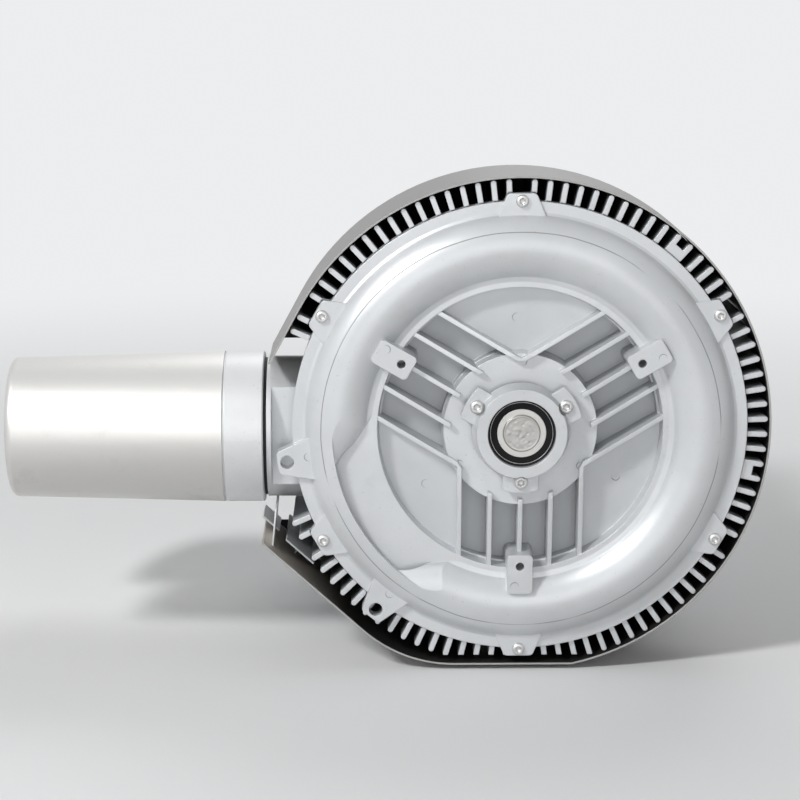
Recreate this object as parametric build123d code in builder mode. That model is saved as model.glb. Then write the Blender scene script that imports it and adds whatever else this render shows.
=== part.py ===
from build123d import *
import os
from math import cos, radians, sin, sqrt, tan

# Side channel blower with its motor, cooling shroud and two port silencers. Millimetres, +Z up.
# The shaft lies along Y and the cover faces -Y. Depths are Y values. Angles run from +X towards +Z,
# as seen from the cover side. The origin is on the shaft axis, level with the three boss faces.

# Fits and clearances
running_gap = 0.05  # radial, a turning piece in its seat or seal
seat_gap = 0.02  # radial, a ring pressed or slid into its bore
joint_gap = 0.3  # between faces that a seal or gasket parts
thread_gap = 0.1  # radial, a screw shank in its tapped hole
screw_play = 0.5  # radial, a screw shank in a clearance hole
wheel_gap = 0.5  # axial, impeller to channel faces

# Front cover casting
hub_front = 7.0
hub_radius = 61.6
hub_bore = 24.0
rim_front = 13.0
rim_inner_radius = 115.4
rim_width = 4.5
cover_back = 42.0
flange_front = 17.0
flange_back = 25.0
flange_radius = 184.0
flat_floor = 26.0
slot_floor = 38.0
rib_front = 13.6
rib_hub_front = 6.4
rib_overlap = 5.0
rib_width = 3.6
rib_pitch = 24.6
ribs_per_group = 5
group_angles = (30, 150, 270)

# Side channels
channel_mean_radius = 147.5
channel_radius = 24.0
channel_wall = 6.0
front_channel_depth = 31.0
port_angle = 210.0
stripper_half_angle = 36.0

# Interrupter recess in the cover's bulge
recess_outer_radius = 151.5
recess_floor = rim_front
recess_corner_angle = 17.5
recess_skew = 27.5
recess_height = 24.0
recess_reach = 240.0
nose_length = 27.0
nose_height = 12.3

# Mounting bosses and lugs
boss_radius = 111.0
boss_hole_radius = 3.4
boss_hole_depth = 25.0
boss_width = 20.5
boss_inner_radius = 101.5
boss_outer_radius = 134.0
boss_corner = 3.5
lug_screw_radius = 184.0
lug_root_radius = 172.0
lug_root_width = 38.0
lug_top_radius = 190.0
lug_top_width = 23.0
lug_front = 14.5
lifting_angles = (188, 232)
lifting_hole_radius = 5.5
lifting_hole_at = 189.8
lifting_root_radius = 166.0
lifting_root_width = 37.0
lifting_top_radius = 197.5
lifting_top_width = 18.0
lifting_front = 11.5
lug_corner = 4.0
lug_room = 0.8  # between a lug and the fins beside it

# Rolling bearings, the same size at both ends
bearing_bore = 15.0
bearing_outer = 31.0
bearing_width = 16.0
race_inner_radius = 19.6
race_outer_radius = 26.4
ball_radius = 4.7
ball_count = 9
cage_thickness = 1.6
cage_rim = 0.9
seal_thickness = 0.8
front_bearing_front = -3.0
retainer_front = -8.0
retainer_lip_radius = 27.3
retainer_outer_radius = 36.2
retainer_base_radius = 39.5
retainer_ear_front = 1.5
retainer_ear_radius = 50.0
retainer_ear_width = 28.5
retainer_screw_radius = 41.2

# Screws
retainer_screw_head = 5.2
retainer_screw_shank = 2.5
cover_screw_head = 5.1
cover_screw_shank = 3.0
cover_screw_length = 24.0
small_screw_head = 3.6
small_screw_shank = 2.0
bolt_head_height = 4.0

# Finned casing
wheel_thickness = 30.0
casing_radius = 178.0
casing_lip = 34.0
casing_hub_radius = 44.0
casing_hub_back = 112.0
rear_wall = 16.0
fin_width = 4.3
fin_tip_radius = 201.0
fin_front = 20.0
fin_back = 112.0
fin_first = 2.95
fin_pitch = 3.607
fins_per_sector = 16
fin_sectors = (30, 90, 210, 270, 330)
upper_port_lug = 150
fin_bottom = -190.9
land_sectors = (30, 330)
land_radius = 190.0

# Ports and silencers, on axes along X
neck_end = -205.2
neck_radius = 58.4
neck_flat = 37.5
thread_radius = 28.3
neck_root = -148.0
neck_collar = 4.0
duct_corner = 12.0
duct_wall = 8.0
passage_front = 116.0
link_height = 30.0
inlet_depth = 80.0
inlet_height = -9.9
outlet_depth = 208.0
outlet_height = -34.0
duct_left = -172.0
duct_right = -119.0
duct_top = 26.0
duct_bottom = -94.0
duct_front = 92.0
duct_back = 268.0
gasket_thickness = 2.6
gasket_radius = 57.0
collar_length = 31.6
collar_radius = 62.6
shell_groove = 1.6
shell_length = 176.4
shell_small_radius = 57.8
shell_wall = 2.0
shell_edge = 6.0
nozzle_length = 18.0
nozzle_wall = 5.0
collar_floor = 5.0
spigot_length = 12.0
spigot_gap = 0.6
tube_slot_count = 6
tube_slot_width = 8.0
tube_slot_pitch = 22.0
tube_inner_radius = 24.5
tube_thread_length = 24.0

# Shaft line
shaft_front = -4.2
wheel_seat_radius = 17.5
seal_seat_radius = 20.0
seal_pocket_radius = 31.0
seal_width = 7.0
spacer_thickness = 4.0
wave_spring_room = 6.0
rotor_seat_radius = 22.0
fan_seat_radius = 14.0
wheel_hub_radius = 46.0
blade_root_radius = 124.0
blade_tip_radius = 170.7
blade_count = 36
blade_thickness = 3.0
web_thickness = 5.0
key_width = 8.0
key_height = 7.0
fan_key_size = 5.0

# Motor
motor_front = 120.0
motor_back = 330.0
stator_radius = 88.0
motor_wall = 9.0
motor_fin_height = 12.6
motor_fin_width = 3.2
motor_fin_count = 36
stack_front = 170.0
stack_length = 110.0
air_gap = 0.5
rotor_radius = 54.0
flange_thickness = 14.0
flange_screw_grip = 12.0
lead_hole_radius = 16.0
end_shield_screw_radius = 102.0
end_shield_screw_count = 4
winding_reach = 24.0
shield_thickness = 12.0
rear_bearing_front = 324.0
fan_front = 356.0
fan_length = 30.0
fan_radius = 84.0
fan_blades = 8
cowl_back = 408.0
cowl_wall = 1.6
cowl_clearance = 1.6
cowl_screw_angles = (0, 90, 180, 270)
cowl_screw_length = 11.0
cowl_inner_radius = 112.6
cowl_front = 318.0
grille_radii = (78, 62, 46, 30)
grille_slot = 7.0
grille_spokes = 6
grille_spoke_width = 6.0

# Terminal box on the motor's +X side
box_inner_face = 108.0
box_depth = 46.0
box_length = 104.0
box_height = 88.0
box_wall = 3.5
box_middle = 215.0
lid_thickness = 9.0
gland_radius = 13.0
gland_bore = 7.0
gland_thread_radius = 9.8
gland_seal_wall = 1.6
gland_seal_length = 10.0
box_post = 6.0
lid_seal_thickness = 1.2
board_width = 30.0
board_height = 60.0

# Cooling shroud
shroud_front = 17.0
shroud_back = 120.0
shroud_radius = 203.5
sheet = 1.5
shroud_bottom = -198.6
slope_angle = 42.0
slope_end_x = -209.5
slope_foot_x = -95.3
slope_bend = 112.0
tangent_angle = 151.5
port_gap_top = 53.0
panel_hole_radius = 118.0
panel_window_angle = 24.0
panel_window_height = 17.0
panel_window_width = 30.0
panel_gap = 0.3
panel_pad_radius = 6.0
panel_pad_angles = (0, 60, 120, 240, 300)
panel_screw_length = 8.0
panel_notch_top = 58.0
panel_notch_bottom = -100.0
duct_gap = 3.0
baffle_front = 28.0
baffle_start = 14.0
baffle_end = 44.0
baffle_height = 13.0
baffle_rear_gap = 4.0
baffle_leg_at = 32.0
baffle_leg_front = 70.0
blade_at = 9.0
blade_front = 34.0
blade_depth = 80.0
blade_top_x = -199.0
blade_top_z = -69.5
tab_reach = 7.0
tab_height = 6.0
tab_inset = -1.5
tab_front = 72.0
tab_depth = 42.0

# Carcass
base_thickness = 4.0
base_front = 42.0
base_back = 372.0
base_front_width = 96.0
base_front_offset = -8.0
base_rear_gap = 8.0
support_window = 50.0
base_rear_width = 216.0
support_front = 270.0
support_length = 34.0
support_width = 150.0
support_neck = 92.0
support_foot = 8.0
base_bolt_radius = 3.0
base_bolt_head = 5.5
base_bolt_reach = 64.0
shroud_bolt_reach = 26.0
mount_hole_radius = 5.5
mount_hole_spacing_x = 180.0
mount_hole_spacing_y = 200.0

# Depths that follow from the sizes above
channel_mouth = cover_back
wheel_front = channel_mouth + wheel_gap
wheel_back = wheel_front + wheel_thickness
rear_channel_mouth = wheel_back + wheel_gap
rear_channel_depth = rear_channel_mouth + cover_back - front_channel_depth
casing_joint = flange_back + joint_gap
casing_back = rear_channel_depth + channel_radius + channel_wall
shaft_shoulder = front_bearing_front + bearing_width
rear_bearing_back = rear_bearing_front + bearing_width
collar_left = neck_end - gasket_thickness - collar_length
shell_right = collar_left - shell_groove
shell_left = shell_right - shell_length
spigot_radius = collar_radius - shell_wall - spigot_gap
motor_radius = stator_radius + motor_wall
motor_flange_radius = cowl_inner_radius - cowl_clearance
panel_front = shroud_back - sheet
base_top = shroud_bottom
base_bottom = base_top - base_thickness


def facing(depth):
    """The plane square to the shaft at this depth, seen from the cover side."""
    return Plane(origin=(0, depth, 0), x_dir=(1, 0, 0), z_dir=(0, -1, 0))


def radial_plane(angle):
    """The plane through the shaft axis at this angle, with radius as its x and depth as its y."""
    turn = radians(angle)
    return Plane(origin=(0, 0, 0), x_dir=(cos(turn), 0, sin(turn)), z_dir=(-sin(turn), 0, cos(turn)))


def port_plane(x, depth, height):
    """The plane square to a port axis, facing away from the casing."""
    return Plane(origin=(x, depth, height), x_dir=(0, -1, 0), z_dir=(-1, 0, 0))


def ring(inner_radius, outer_radius, front, back, mode=Mode.ADD):
    """A plain ring about the shaft axis."""
    with BuildSketch(facing(front)) as ring_face:
        Circle(outer_radius)
        if inner_radius > 0:
            Circle(inner_radius, mode=Mode.SUBTRACT)
    extrude(ring_face.sketch, amount=front - back, mode=mode)


def turned(points, mode=Mode.ADD):
    """A body of revolution about the shaft axis, from (radius, depth) corners."""
    with BuildSketch(Plane.XY) as section:
        with BuildLine():
            Polyline(*points, close=True)
        make_face()
    revolve(section.sketch, axis=Axis.Y, mode=mode)


def port_ring(inner_radius, outer_radius, right, left, depth, height, mode=Mode.ADD):
    """A plain ring about a port axis, between two X positions."""
    with BuildSketch(port_plane(right, depth, height)) as ring_face:
        Circle(outer_radius)
        if inner_radius > 0:
            Circle(inner_radius, mode=Mode.SUBTRACT)
    extrude(ring_face.sketch, amount=right - left, mode=mode)


def spots_on_circle(radius, angles):
    """Points of a circle about the shaft axis, one for each angle."""
    return [(radius * cos(radians(angle)), radius * sin(radians(angle))) for angle in angles]


def drill(spots, radius, front, back):
    """Holes along the shaft direction."""
    with BuildSketch(facing(front)) as hole_faces:
        with Locations(*spots):
            Circle(radius)
    extrude(hole_faces.sketch, amount=front - back, mode=Mode.SUBTRACT)


def front_screws(spots, seat, head_radius, shank_radius, shank_length):
    """Pan-head screws with hexagon sockets, heads towards -Y."""
    head_height = 0.75 * head_radius
    with BuildSketch(facing(seat)) as head_faces:
        with Locations(*spots):
            Circle(head_radius)
    extrude(head_faces.sketch, amount=head_height)
    with BuildSketch(facing(seat)) as shank_faces:
        with Locations(*spots):
            Circle(shank_radius)
    extrude(shank_faces.sketch, amount=-shank_length)
    with BuildSketch(facing(seat - head_height)) as socket_faces:
        with Locations(*spots):
            RegularPolygon(0.5 * head_radius, 6)
    extrude(socket_faces.sketch, amount=-0.6 * head_height, mode=Mode.SUBTRACT)


def rear_bolts(spots, seat, shank_length):
    """Hexagon-head bolts with their heads towards +Y."""
    with BuildSketch(facing(seat)) as head_faces:
        with Locations(*spots):
            RegularPolygon(cover_screw_head, 6)
    extrude(head_faces.sketch, amount=-bolt_head_height)
    with BuildSketch(facing(seat)) as shank_faces:
        with Locations(*spots):
            Circle(cover_screw_shank)
    extrude(shank_faces.sketch, amount=shank_length)


def lug_faces(depth, angles, root, top, corner):
    """Trapezoids that point outwards; root and top are (radius, half width)."""
    with BuildSketch(facing(depth)) as outlines:
        for angle in angles:
            with Locations(Location((0, 0), angle)):
                Polygon(
                    (root[0], root[1]), (root[0], -root[1]), (top[0], -top[1]), (top[0], top[1]), align=None
                )
        outer_corners = outlines.vertices().filter_by(
            lambda point: Vector(point.X, point.Y).length > (root[0] + top[0]) / 2 + root[1] / 3
        )
        fillet(outer_corners, corner)
    return outlines.sketch


def screw_lugs(depth, margin):
    """Outlines of the six lugs for the cover screws."""
    return lug_faces(
        depth,
        cover_screw_angles,
        (lug_root_radius - margin, lug_root_width / 2 + margin),
        (lug_top_radius + margin, lug_top_width / 2 + margin),
        lug_corner,
    )


def lifting_lugs(depth, margin):
    """Outlines of the two lifting lugs."""
    return lug_faces(
        depth,
        lifting_angles,
        (lifting_root_radius - margin, lifting_root_width / 2 + margin),
        (lifting_top_radius + margin, lifting_top_width / 2 + margin),
        lug_corner,
    )


def cowl_screw_plane(angle):
    """The plane on the outside of the fan cowl that faces outwards at this angle."""
    turn = radians(angle)
    reach = cowl_inner_radius + cowl_wall
    depth = motor_back + shield_thickness / 2
    return Plane(origin=(reach * cos(turn), depth, reach * sin(turn)), z_dir=(cos(turn), 0, sin(turn)))


def finish(piece, label):
    """Name a finished piece and write it."""
    piece.part.label = label
    export_step(piece.part, "parts/" + label + ".step")


os.makedirs("parts", exist_ok=True)
shield_back = rear_bearing_back + wave_spring_room + 3
cover_screw_angles = [30 + 60 * step for step in range(6)]
end_shield_angles = [45 + 360 / end_shield_screw_count * step for step in range(end_shield_screw_count)]
end_shield_spots = spots_on_circle(end_shield_screw_radius, end_shield_angles)
shroud_bolt_spots = [(x, (base_front + shroud_back) / 2) for x in (-shroud_bolt_reach, shroud_bolt_reach)]
support_bolt_spots = [(x, support_front + support_length / 2) for x in (-base_bolt_reach, base_bolt_reach)]
cover_screw_spots = spots_on_circle(lug_screw_radius, cover_screw_angles)
retainer_screw_spots = spots_on_circle(retainer_screw_radius, group_angles)
panel_spots = spots_on_circle(channel_mean_radius, panel_pad_angles)


# ---- Front cover -------------------------------------------------------------------------------

# The recess between the two ends of the side channel. The bulge runs down into it in a rounded nose
# at each end, whose foot is a straight line across the floor.
def nose_plane(side):
    """The plane square to one nose's foot: x runs into the bulge, y towards the front."""
    foot_angle = port_angle + side * recess_corner_angle
    foot = Vector(recess_outer_radius * cos(radians(foot_angle)), recess_floor, recess_outer_radius * sin(radians(foot_angle)))
    run_angle = radians(port_angle - side * recess_skew)
    into_bulge = Vector(-side * sin(run_angle), 0, side * cos(run_angle))
    along_foot = into_bulge.cross(Vector(0, -1, 0))
    return Plane(origin=foot, x_dir=into_bulge, z_dir=along_foot)


def nose_prism(side):
    """Everything on the recess side of one nose."""
    with BuildSketch(nose_plane(side)) as nose_profile:
        with Locations((nose_length - recess_reach / 2, recess_height / 2)):
            Rectangle(recess_reach, recess_height)
        with Locations((nose_length, 0)):
            Ellipse(nose_length, nose_height, mode=Mode.SUBTRACT)
    extrude(nose_profile.sketch, amount=recess_reach, both=True)


with BuildPart() as upper_prism:
    nose_prism(-1)

with BuildPart() as recess_tool:
    nose_prism(1)
    add(upper_prism.part, mode=Mode.INTERSECT)
    ring(0, recess_outer_radius, recess_floor - recess_height, recess_floor, mode=Mode.INTERSECT)

# Ribs, whose tops fall from the hub to the rim
with BuildPart() as ribs:
    with BuildSketch(facing(rib_hub_front)) as rib_faces:
        with PolarLocations(0, len(group_angles), start_angle=group_angles[0]):
            with Locations((rim_inner_radius / 2, 0)):
                with GridLocations(0, rib_pitch, 1, ribs_per_group):
                    Rectangle(rim_inner_radius + 10, rib_width)
        Circle(rim_inner_radius + 1.0, mode=Mode.INTERSECT)
        Circle(hub_radius - rib_overlap, mode=Mode.SUBTRACT)
    extrude(rib_faces.sketch, amount=rib_hub_front - slot_floor)
    turned(
        (
            (hub_radius - rib_overlap - 1, rib_hub_front - 1),
            (rim_inner_radius + 2, rib_hub_front - 1),
            (rim_inner_radius + 2, rib_front),
            (hub_radius, rib_hub_front),
            (hub_radius - rib_overlap - 1, rib_hub_front),
        ),
        mode=Mode.SUBTRACT,
    )

with BuildPart() as front_cover:
    bulge_radius = channel_radius + channel_wall
    bulge_reach = sqrt(bulge_radius**2 - (front_channel_depth - rim_front) ** 2)
    shoulder_reach = sqrt(bulge_radius**2 - (front_channel_depth - flange_front) ** 2)
    mouth_reach = sqrt(channel_radius**2 - (front_channel_depth - flange_back) ** 2)
    with BuildSketch(Plane.XY):
        with BuildLine():
            Polyline(
                (channel_mean_radius - channel_radius, cover_back),
                (hub_bore, cover_back),
                (hub_bore, shaft_shoulder),
                (bearing_outer + seat_gap, shaft_shoulder),
                (bearing_outer + seat_gap, hub_front),
                (hub_radius - 1.5, hub_front),
                (hub_radius, hub_front + 1.5),
                (hub_radius + 1.5, flat_floor),
                (rim_inner_radius - 1.5, flat_floor),
                (rim_inner_radius, rim_front),
                (rim_inner_radius + rim_width, rim_front),
                (channel_mean_radius - bulge_reach + 0.6, rim_front - 1.0),
            )
            ThreePointArc(
                (channel_mean_radius - bulge_reach + 0.6, rim_front - 1.0),
                (channel_mean_radius, front_channel_depth - bulge_radius),
                (channel_mean_radius + shoulder_reach - 0.6, flange_front - 1.2),
            )
            Polyline(
                (channel_mean_radius + shoulder_reach - 0.6, flange_front - 1.2),
                (channel_mean_radius + shoulder_reach + 1.5, flange_front),
                (flange_radius, flange_front),
                (flange_radius, flange_back),
                (channel_mean_radius + mouth_reach, flange_back),
            )
            ThreePointArc(
                (channel_mean_radius + mouth_reach, flange_back),
                (channel_mean_radius, front_channel_depth - channel_radius),
                (channel_mean_radius - channel_radius, front_channel_depth),
            )
            Line(
                (channel_mean_radius - channel_radius, front_channel_depth),
                (channel_mean_radius - channel_radius, cover_back),
            )
        make_face()
    revolve(axis=Axis.Y)
    add(recess_tool.part, mode=Mode.SUBTRACT)
    # Deep slots between the ribs of each group
    with BuildSketch(facing(rib_front)) as slot_faces:
        with PolarLocations(0, len(group_angles), start_angle=group_angles[0]):
            with Locations((rim_inner_radius / 2, 0)):
                Rectangle(rim_inner_radius, (ribs_per_group - 1) * rib_pitch)
        Circle(rim_inner_radius - 3.0, mode=Mode.INTERSECT)
        Circle(hub_radius + 2.0, mode=Mode.SUBTRACT)
    extrude(slot_faces.sketch, amount=rib_front - slot_floor, mode=Mode.SUBTRACT)
    add(ribs.part)
    # Mounting bosses on the middle ribs
    with BuildSketch(facing(0)) as boss_faces:
        with PolarLocations((boss_inner_radius + boss_outer_radius) / 2, 3, start_angle=group_angles[0]):
            RectangleRounded(boss_outer_radius - boss_inner_radius, boss_width, boss_corner)
    extrude(boss_faces.sketch, amount=-slot_floor, taper=-2)
    # Screw lugs and the two lifting lugs
    extrude(screw_lugs(lug_front, 0), amount=lug_front - flange_back)
    extrude(lifting_lugs(lifting_front, 0), amount=lifting_front - flange_back)
    # The channel is stopped by solid metal between the two ports
    with BuildSketch(radial_plane(port_angle + stripper_half_angle)) as stripper_section:
        with Locations((channel_mean_radius, (recess_floor + cover_back) / 2)):
            Rectangle(2 * channel_radius, cover_back - recess_floor)
        with Locations((channel_mean_radius + channel_radius, cover_back)):
            Rectangle(8, 2 * (cover_back - flange_back), mode=Mode.SUBTRACT)
    revolve(stripper_section.sketch, axis=Axis.Y, revolution_arc=2 * stripper_half_angle)
    drill(spots_on_circle(boss_radius, group_angles), boss_hole_radius, -1, boss_hole_depth)
    drill(cover_screw_spots, cover_screw_shank + screw_play, lug_front - 1, flange_back + 1)
    drill(
        spots_on_circle(lifting_hole_at, lifting_angles),
        lifting_hole_radius,
        lifting_front - 1,
        flange_back + 1,
    )
    drill(retainer_screw_spots, retainer_screw_shank + thread_gap, hub_front - 1, hub_front + 16)
finish(front_cover, "front_cover")

with BuildPart() as cover_seal:
    ring(channel_mean_radius + channel_radius + 1, casing_radius, flange_back, casing_joint)
finish(cover_seal, "cover_seal")

with BuildPart() as cover_screws:
    front_screws(cover_screw_spots, lug_front, cover_screw_head, cover_screw_shank, cover_screw_length)
finish(cover_screws, "cover_screws")


# ---- Bearings ----------------------------------------------------------------------------------


def bearing_section(inner_radius, outer_radius, front):
    """Turn one bearing ring, with the balls' groove cut into it."""
    middle = (race_inner_radius + race_outer_radius) / 2
    with BuildSketch(Plane.XY) as section:
        with Locations(((inner_radius + outer_radius) / 2, front + bearing_width / 2)):
            Rectangle(outer_radius - inner_radius, bearing_width)
        with Locations((middle, front + bearing_width / 2)):
            Circle(ball_radius + running_gap, mode=Mode.SUBTRACT)
    revolve(section.sketch, axis=Axis.Y)


def bearing_balls(front):
    """The balls, spaced evenly round the pitch circle."""
    with Locations(Location((0, front + bearing_width / 2, 0), (90, 0, 0))):
        with PolarLocations((race_inner_radius + race_outer_radius) / 2, ball_count):
            Sphere(ball_radius)


def bearing_cage(front):
    """A flat ring that holds the balls apart, with a pocket for each."""
    middle = (race_inner_radius + race_outer_radius) / 2
    centre = front + bearing_width / 2
    half_width = ball_radius + cage_rim
    ring(middle - cage_thickness, middle + cage_thickness, centre - half_width, centre + half_width)
    with Locations(Location((0, centre, 0), (90, 0, 0))):
        with PolarLocations(middle, ball_count):
            Cylinder(ball_radius + running_gap, 2 * ball_radius, rotation=(0, 90, 0), mode=Mode.SUBTRACT)


for end_name, bearing_front in (("front", front_bearing_front), ("rear", rear_bearing_front)):
    with BuildPart() as outer_ring:
        bearing_section(race_outer_radius, bearing_outer, bearing_front)
    finish(outer_ring, end_name + "_bearing_outer_ring")
    with BuildPart() as inner_ring:
        bearing_section(bearing_bore, race_inner_radius, bearing_front)
    finish(inner_ring, end_name + "_bearing_inner_ring")
    with BuildPart() as balls:
        bearing_balls(bearing_front)
    finish(balls, end_name + "_bearing_balls")
    with BuildPart() as cage:
        bearing_cage(bearing_front)
    finish(cage, end_name + "_bearing_cage")
    with BuildPart() as seals:
        for seal_front in (bearing_front + 0.5, bearing_front + bearing_width - 0.5 - seal_thickness):
            ring(
                race_inner_radius + running_gap,
                race_outer_radius - seat_gap,
                seal_front,
                seal_front + seal_thickness,
            )
    finish(seals, end_name + "_bearing_seals")

with BuildPart() as bearing_retainer:
    turned(
        (
            (retainer_lip_radius, retainer_front),
            (retainer_outer_radius, retainer_front),
            (retainer_base_radius, hub_front),
            (bearing_outer + seat_gap, hub_front),
            (bearing_outer + seat_gap, front_bearing_front),
            (retainer_lip_radius, front_bearing_front),
        )
    )
    with BuildSketch(facing(retainer_ear_front)) as ear_faces:
        with PolarLocations(retainer_outer_radius, len(group_angles), start_angle=group_angles[0]):
            Rectangle(2 * retainer_ear_radius - 2 * retainer_outer_radius + 6, retainer_ear_width)
        Circle(retainer_ear_radius, mode=Mode.INTERSECT)
        Circle(bearing_outer + 1, mode=Mode.SUBTRACT)
        ear_corners = ear_faces.vertices().filter_by(
            lambda point: Vector(point.X, point.Y).length > retainer_ear_radius - 0.5
        )
        fillet(ear_corners, 2.0)
    extrude(ear_faces.sketch, amount=retainer_ear_front - hub_front)
    # Room round each screw head, cut into the raised ring
    with BuildSketch(facing(retainer_front)) as notch_faces:
        with Locations(*retainer_screw_spots):
            Circle(retainer_screw_head + 1.2)
    extrude(notch_faces.sketch, amount=retainer_front - retainer_ear_front, mode=Mode.SUBTRACT)
    drill(retainer_screw_spots, retainer_screw_shank + screw_play, retainer_front, hub_front)
finish(bearing_retainer, "bearing_retainer")

with BuildPart() as retainer_screws:
    front_screws(retainer_screw_spots, retainer_ear_front, retainer_screw_head, retainer_screw_shank, 18)
finish(retainer_screws, "retainer_screws")


# ---- Finned casing with both ports -------------------------------------------------------------

# The inlet neck, with a flat front that stays clear of the cover's lugs
with BuildPart() as inlet_neck:
    port_ring(0, neck_radius, neck_root, neck_end, inlet_depth, inlet_height)
    with BuildSketch(facing(neck_flat)) as flat_room:
        with Locations(((neck_end + neck_collar + neck_root) / 2, inlet_height)):
            Rectangle(neck_root - neck_end - neck_collar, 2 * neck_radius)
    extrude(flat_room.sketch, amount=neck_flat, mode=Mode.SUBTRACT)

with BuildPart() as blower_housing:
    rear_bulge = channel_radius + channel_wall
    rear_face = rear_channel_mouth + rear_wall
    with BuildSketch(Plane.XY):
        with BuildLine():
            Polyline(
                (0, casing_joint),
                (flange_radius, casing_joint),
                (flange_radius, casing_lip - 2),
                (casing_radius, casing_lip + 2),
                (casing_radius, rear_channel_depth),
            )
            ThreePointArc(
                (casing_radius, rear_channel_depth),
                (channel_mean_radius, casing_back),
                (channel_mean_radius - rear_bulge, rear_channel_depth),
            )
            Polyline(
                (channel_mean_radius - rear_bulge, rear_channel_depth),
                (channel_mean_radius - rear_bulge, rear_face),
                (motor_flange_radius, rear_face),
                (motor_flange_radius, motor_front),
                (stator_radius, motor_front),
                (stator_radius, rear_face),
                (casing_hub_radius, rear_face),
                (casing_hub_radius - 2, casing_hub_back),
                (0, casing_hub_back),
                (0, casing_joint),
            )
        make_face()
    revolve(axis=Axis.Y)
    add(inlet_neck.part)
    # Outlet duct behind the casing, and its neck
    with BuildSketch(facing(duct_front)) as duct_face:
        with Locations(((duct_left + duct_right) / 2, (duct_top + duct_bottom) / 2)):
            RectangleRounded(duct_right - duct_left, duct_top - duct_bottom, duct_corner)
    extrude(duct_face.sketch, amount=duct_front - duct_back)
    port_ring(0, neck_radius, duct_right - duct_wall, neck_end, outlet_depth, outlet_height)
    # Pads on the back that carry the shroud's rear panel
    with BuildSketch(facing(casing_back - channel_wall)) as pad_faces:
        with Locations(*panel_spots):
            Circle(panel_pad_radius)
    extrude(pad_faces.sketch, amount=casing_back - channel_wall - panel_front)
    # Cooling fins round the casing, with a wider gap at each cover lug
    with BuildSketch(facing(fin_front)) as fin_faces:
        fin_length = fin_tip_radius - casing_radius + channel_wall / 2
        for sector in fin_sectors:
            with PolarLocations(
                fin_tip_radius - fin_length / 2,
                fins_per_sector,
                start_angle=sector + fin_first,
                angular_range=(fins_per_sector - 1) * fin_pitch,
                endpoint=True,
            ):
                SlotOverall(fin_length, fin_width)
        # Two more beside each lug next to the ports
        for pair_start in (port_angle - fin_first - fin_pitch, upper_port_lug + fin_first):
            with PolarLocations(
                fin_tip_radius - fin_length / 2, 2, start_angle=pair_start, angular_range=fin_pitch, endpoint=True
            ):
                SlotOverall(fin_length, fin_width)
        with Locations((0, fin_bottom - fin_length)):
            Rectangle(2 * fin_tip_radius, 2 * fin_length, mode=Mode.SUBTRACT)
    extrude(fin_faces.sketch, amount=fin_front - fin_back)
    # Two lands bridge a pair of fins
    with BuildSketch(facing(fin_front)) as land_faces:
        for sector in land_sectors:
            with Locations(Location((0, 0), sector + fin_first + (fins_per_sector / 2 - 3.5) * fin_pitch)):
                with Locations(((casing_radius + land_radius) / 2, 0)):
                    Rectangle(land_radius - casing_radius + channel_wall, 3 * fin_width)
    extrude(land_faces.sketch, amount=fin_front - casing_lip)
    # Both channels and the wheel chamber
    with BuildSketch(Plane.XY) as void_section:
        with BuildLine():
            Polyline(
                (0, 0),
                (channel_mean_radius + channel_radius, 0),
                (channel_mean_radius + channel_radius, rear_channel_depth),
            )
            ThreePointArc(
                (channel_mean_radius + channel_radius, rear_channel_depth),
                (channel_mean_radius, rear_channel_depth + channel_radius),
                (channel_mean_radius - channel_radius, rear_channel_depth),
            )
            Polyline(
                (channel_mean_radius - channel_radius, rear_channel_depth),
                (channel_mean_radius - channel_radius, rear_channel_mouth),
                (seal_pocket_radius, rear_channel_mouth),
                (seal_pocket_radius, casing_hub_back + 1),
                (0, casing_hub_back + 1),
                (0, 0),
            )
        make_face()
    revolve(void_section.sketch, axis=Axis.Y, mode=Mode.SUBTRACT)
    ring(0, flange_radius + lug_room, 0, casing_joint, mode=Mode.SUBTRACT)
    extrude(screw_lugs(0, lug_room), amount=-casing_joint, mode=Mode.SUBTRACT)
    extrude(lifting_lugs(0, lug_room), amount=-casing_joint, mode=Mode.SUBTRACT)
    # Port threads and the outlet's passage
    port_ring(0, thread_radius, -channel_mean_radius, neck_end, inlet_depth, inlet_height, mode=Mode.SUBTRACT)
    port_ring(
        0, thread_radius, duct_left + duct_wall + 1, neck_end, outlet_depth, outlet_height, mode=Mode.SUBTRACT
    )
    with BuildSketch(facing(passage_front)) as passage_face:
        with Locations(((duct_left + duct_right) / 2, (duct_top + duct_bottom) / 2)):
            Rectangle(duct_right - duct_left - 2 * duct_wall, duct_top - duct_bottom - 2 * duct_wall)
    extrude(passage_face.sketch, amount=passage_front - duct_back + duct_wall, mode=Mode.SUBTRACT)
    with BuildSketch(facing(rear_channel_depth)) as link_face:
        with Locations(((duct_left + duct_right) / 2, duct_bottom + duct_wall + link_height / 2)):
            Rectangle(duct_right - duct_left - 2 * duct_wall, link_height)
    extrude(link_face.sketch, amount=rear_channel_depth - passage_front - 1, mode=Mode.SUBTRACT)
    drill(
        cover_screw_spots,
        cover_screw_shank + thread_gap,
        casing_joint - 1,
        lug_front + cover_screw_length + 2,
    )
    drill(end_shield_spots, cover_screw_shank + thread_gap, motor_front - flange_screw_grip - 2, motor_front + 1)
    drill(panel_spots, small_screw_shank + thread_gap, panel_front - panel_screw_length, panel_front + 1)
finish(blower_housing, "blower_housing")

with BuildPart() as rear_shaft_seal:
    ring(seal_seat_radius + running_gap, seal_pocket_radius, rear_face, rear_face + seal_width)
finish(rear_shaft_seal, "rear_shaft_seal")

with BuildPart() as front_shaft_seal:
    ring(wheel_seat_radius + running_gap, hub_bore, shaft_shoulder + 6, shaft_shoulder + 6 + seal_width)
finish(front_shaft_seal, "front_shaft_seal")


# ---- Turning parts -----------------------------------------------------------------------------

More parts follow.
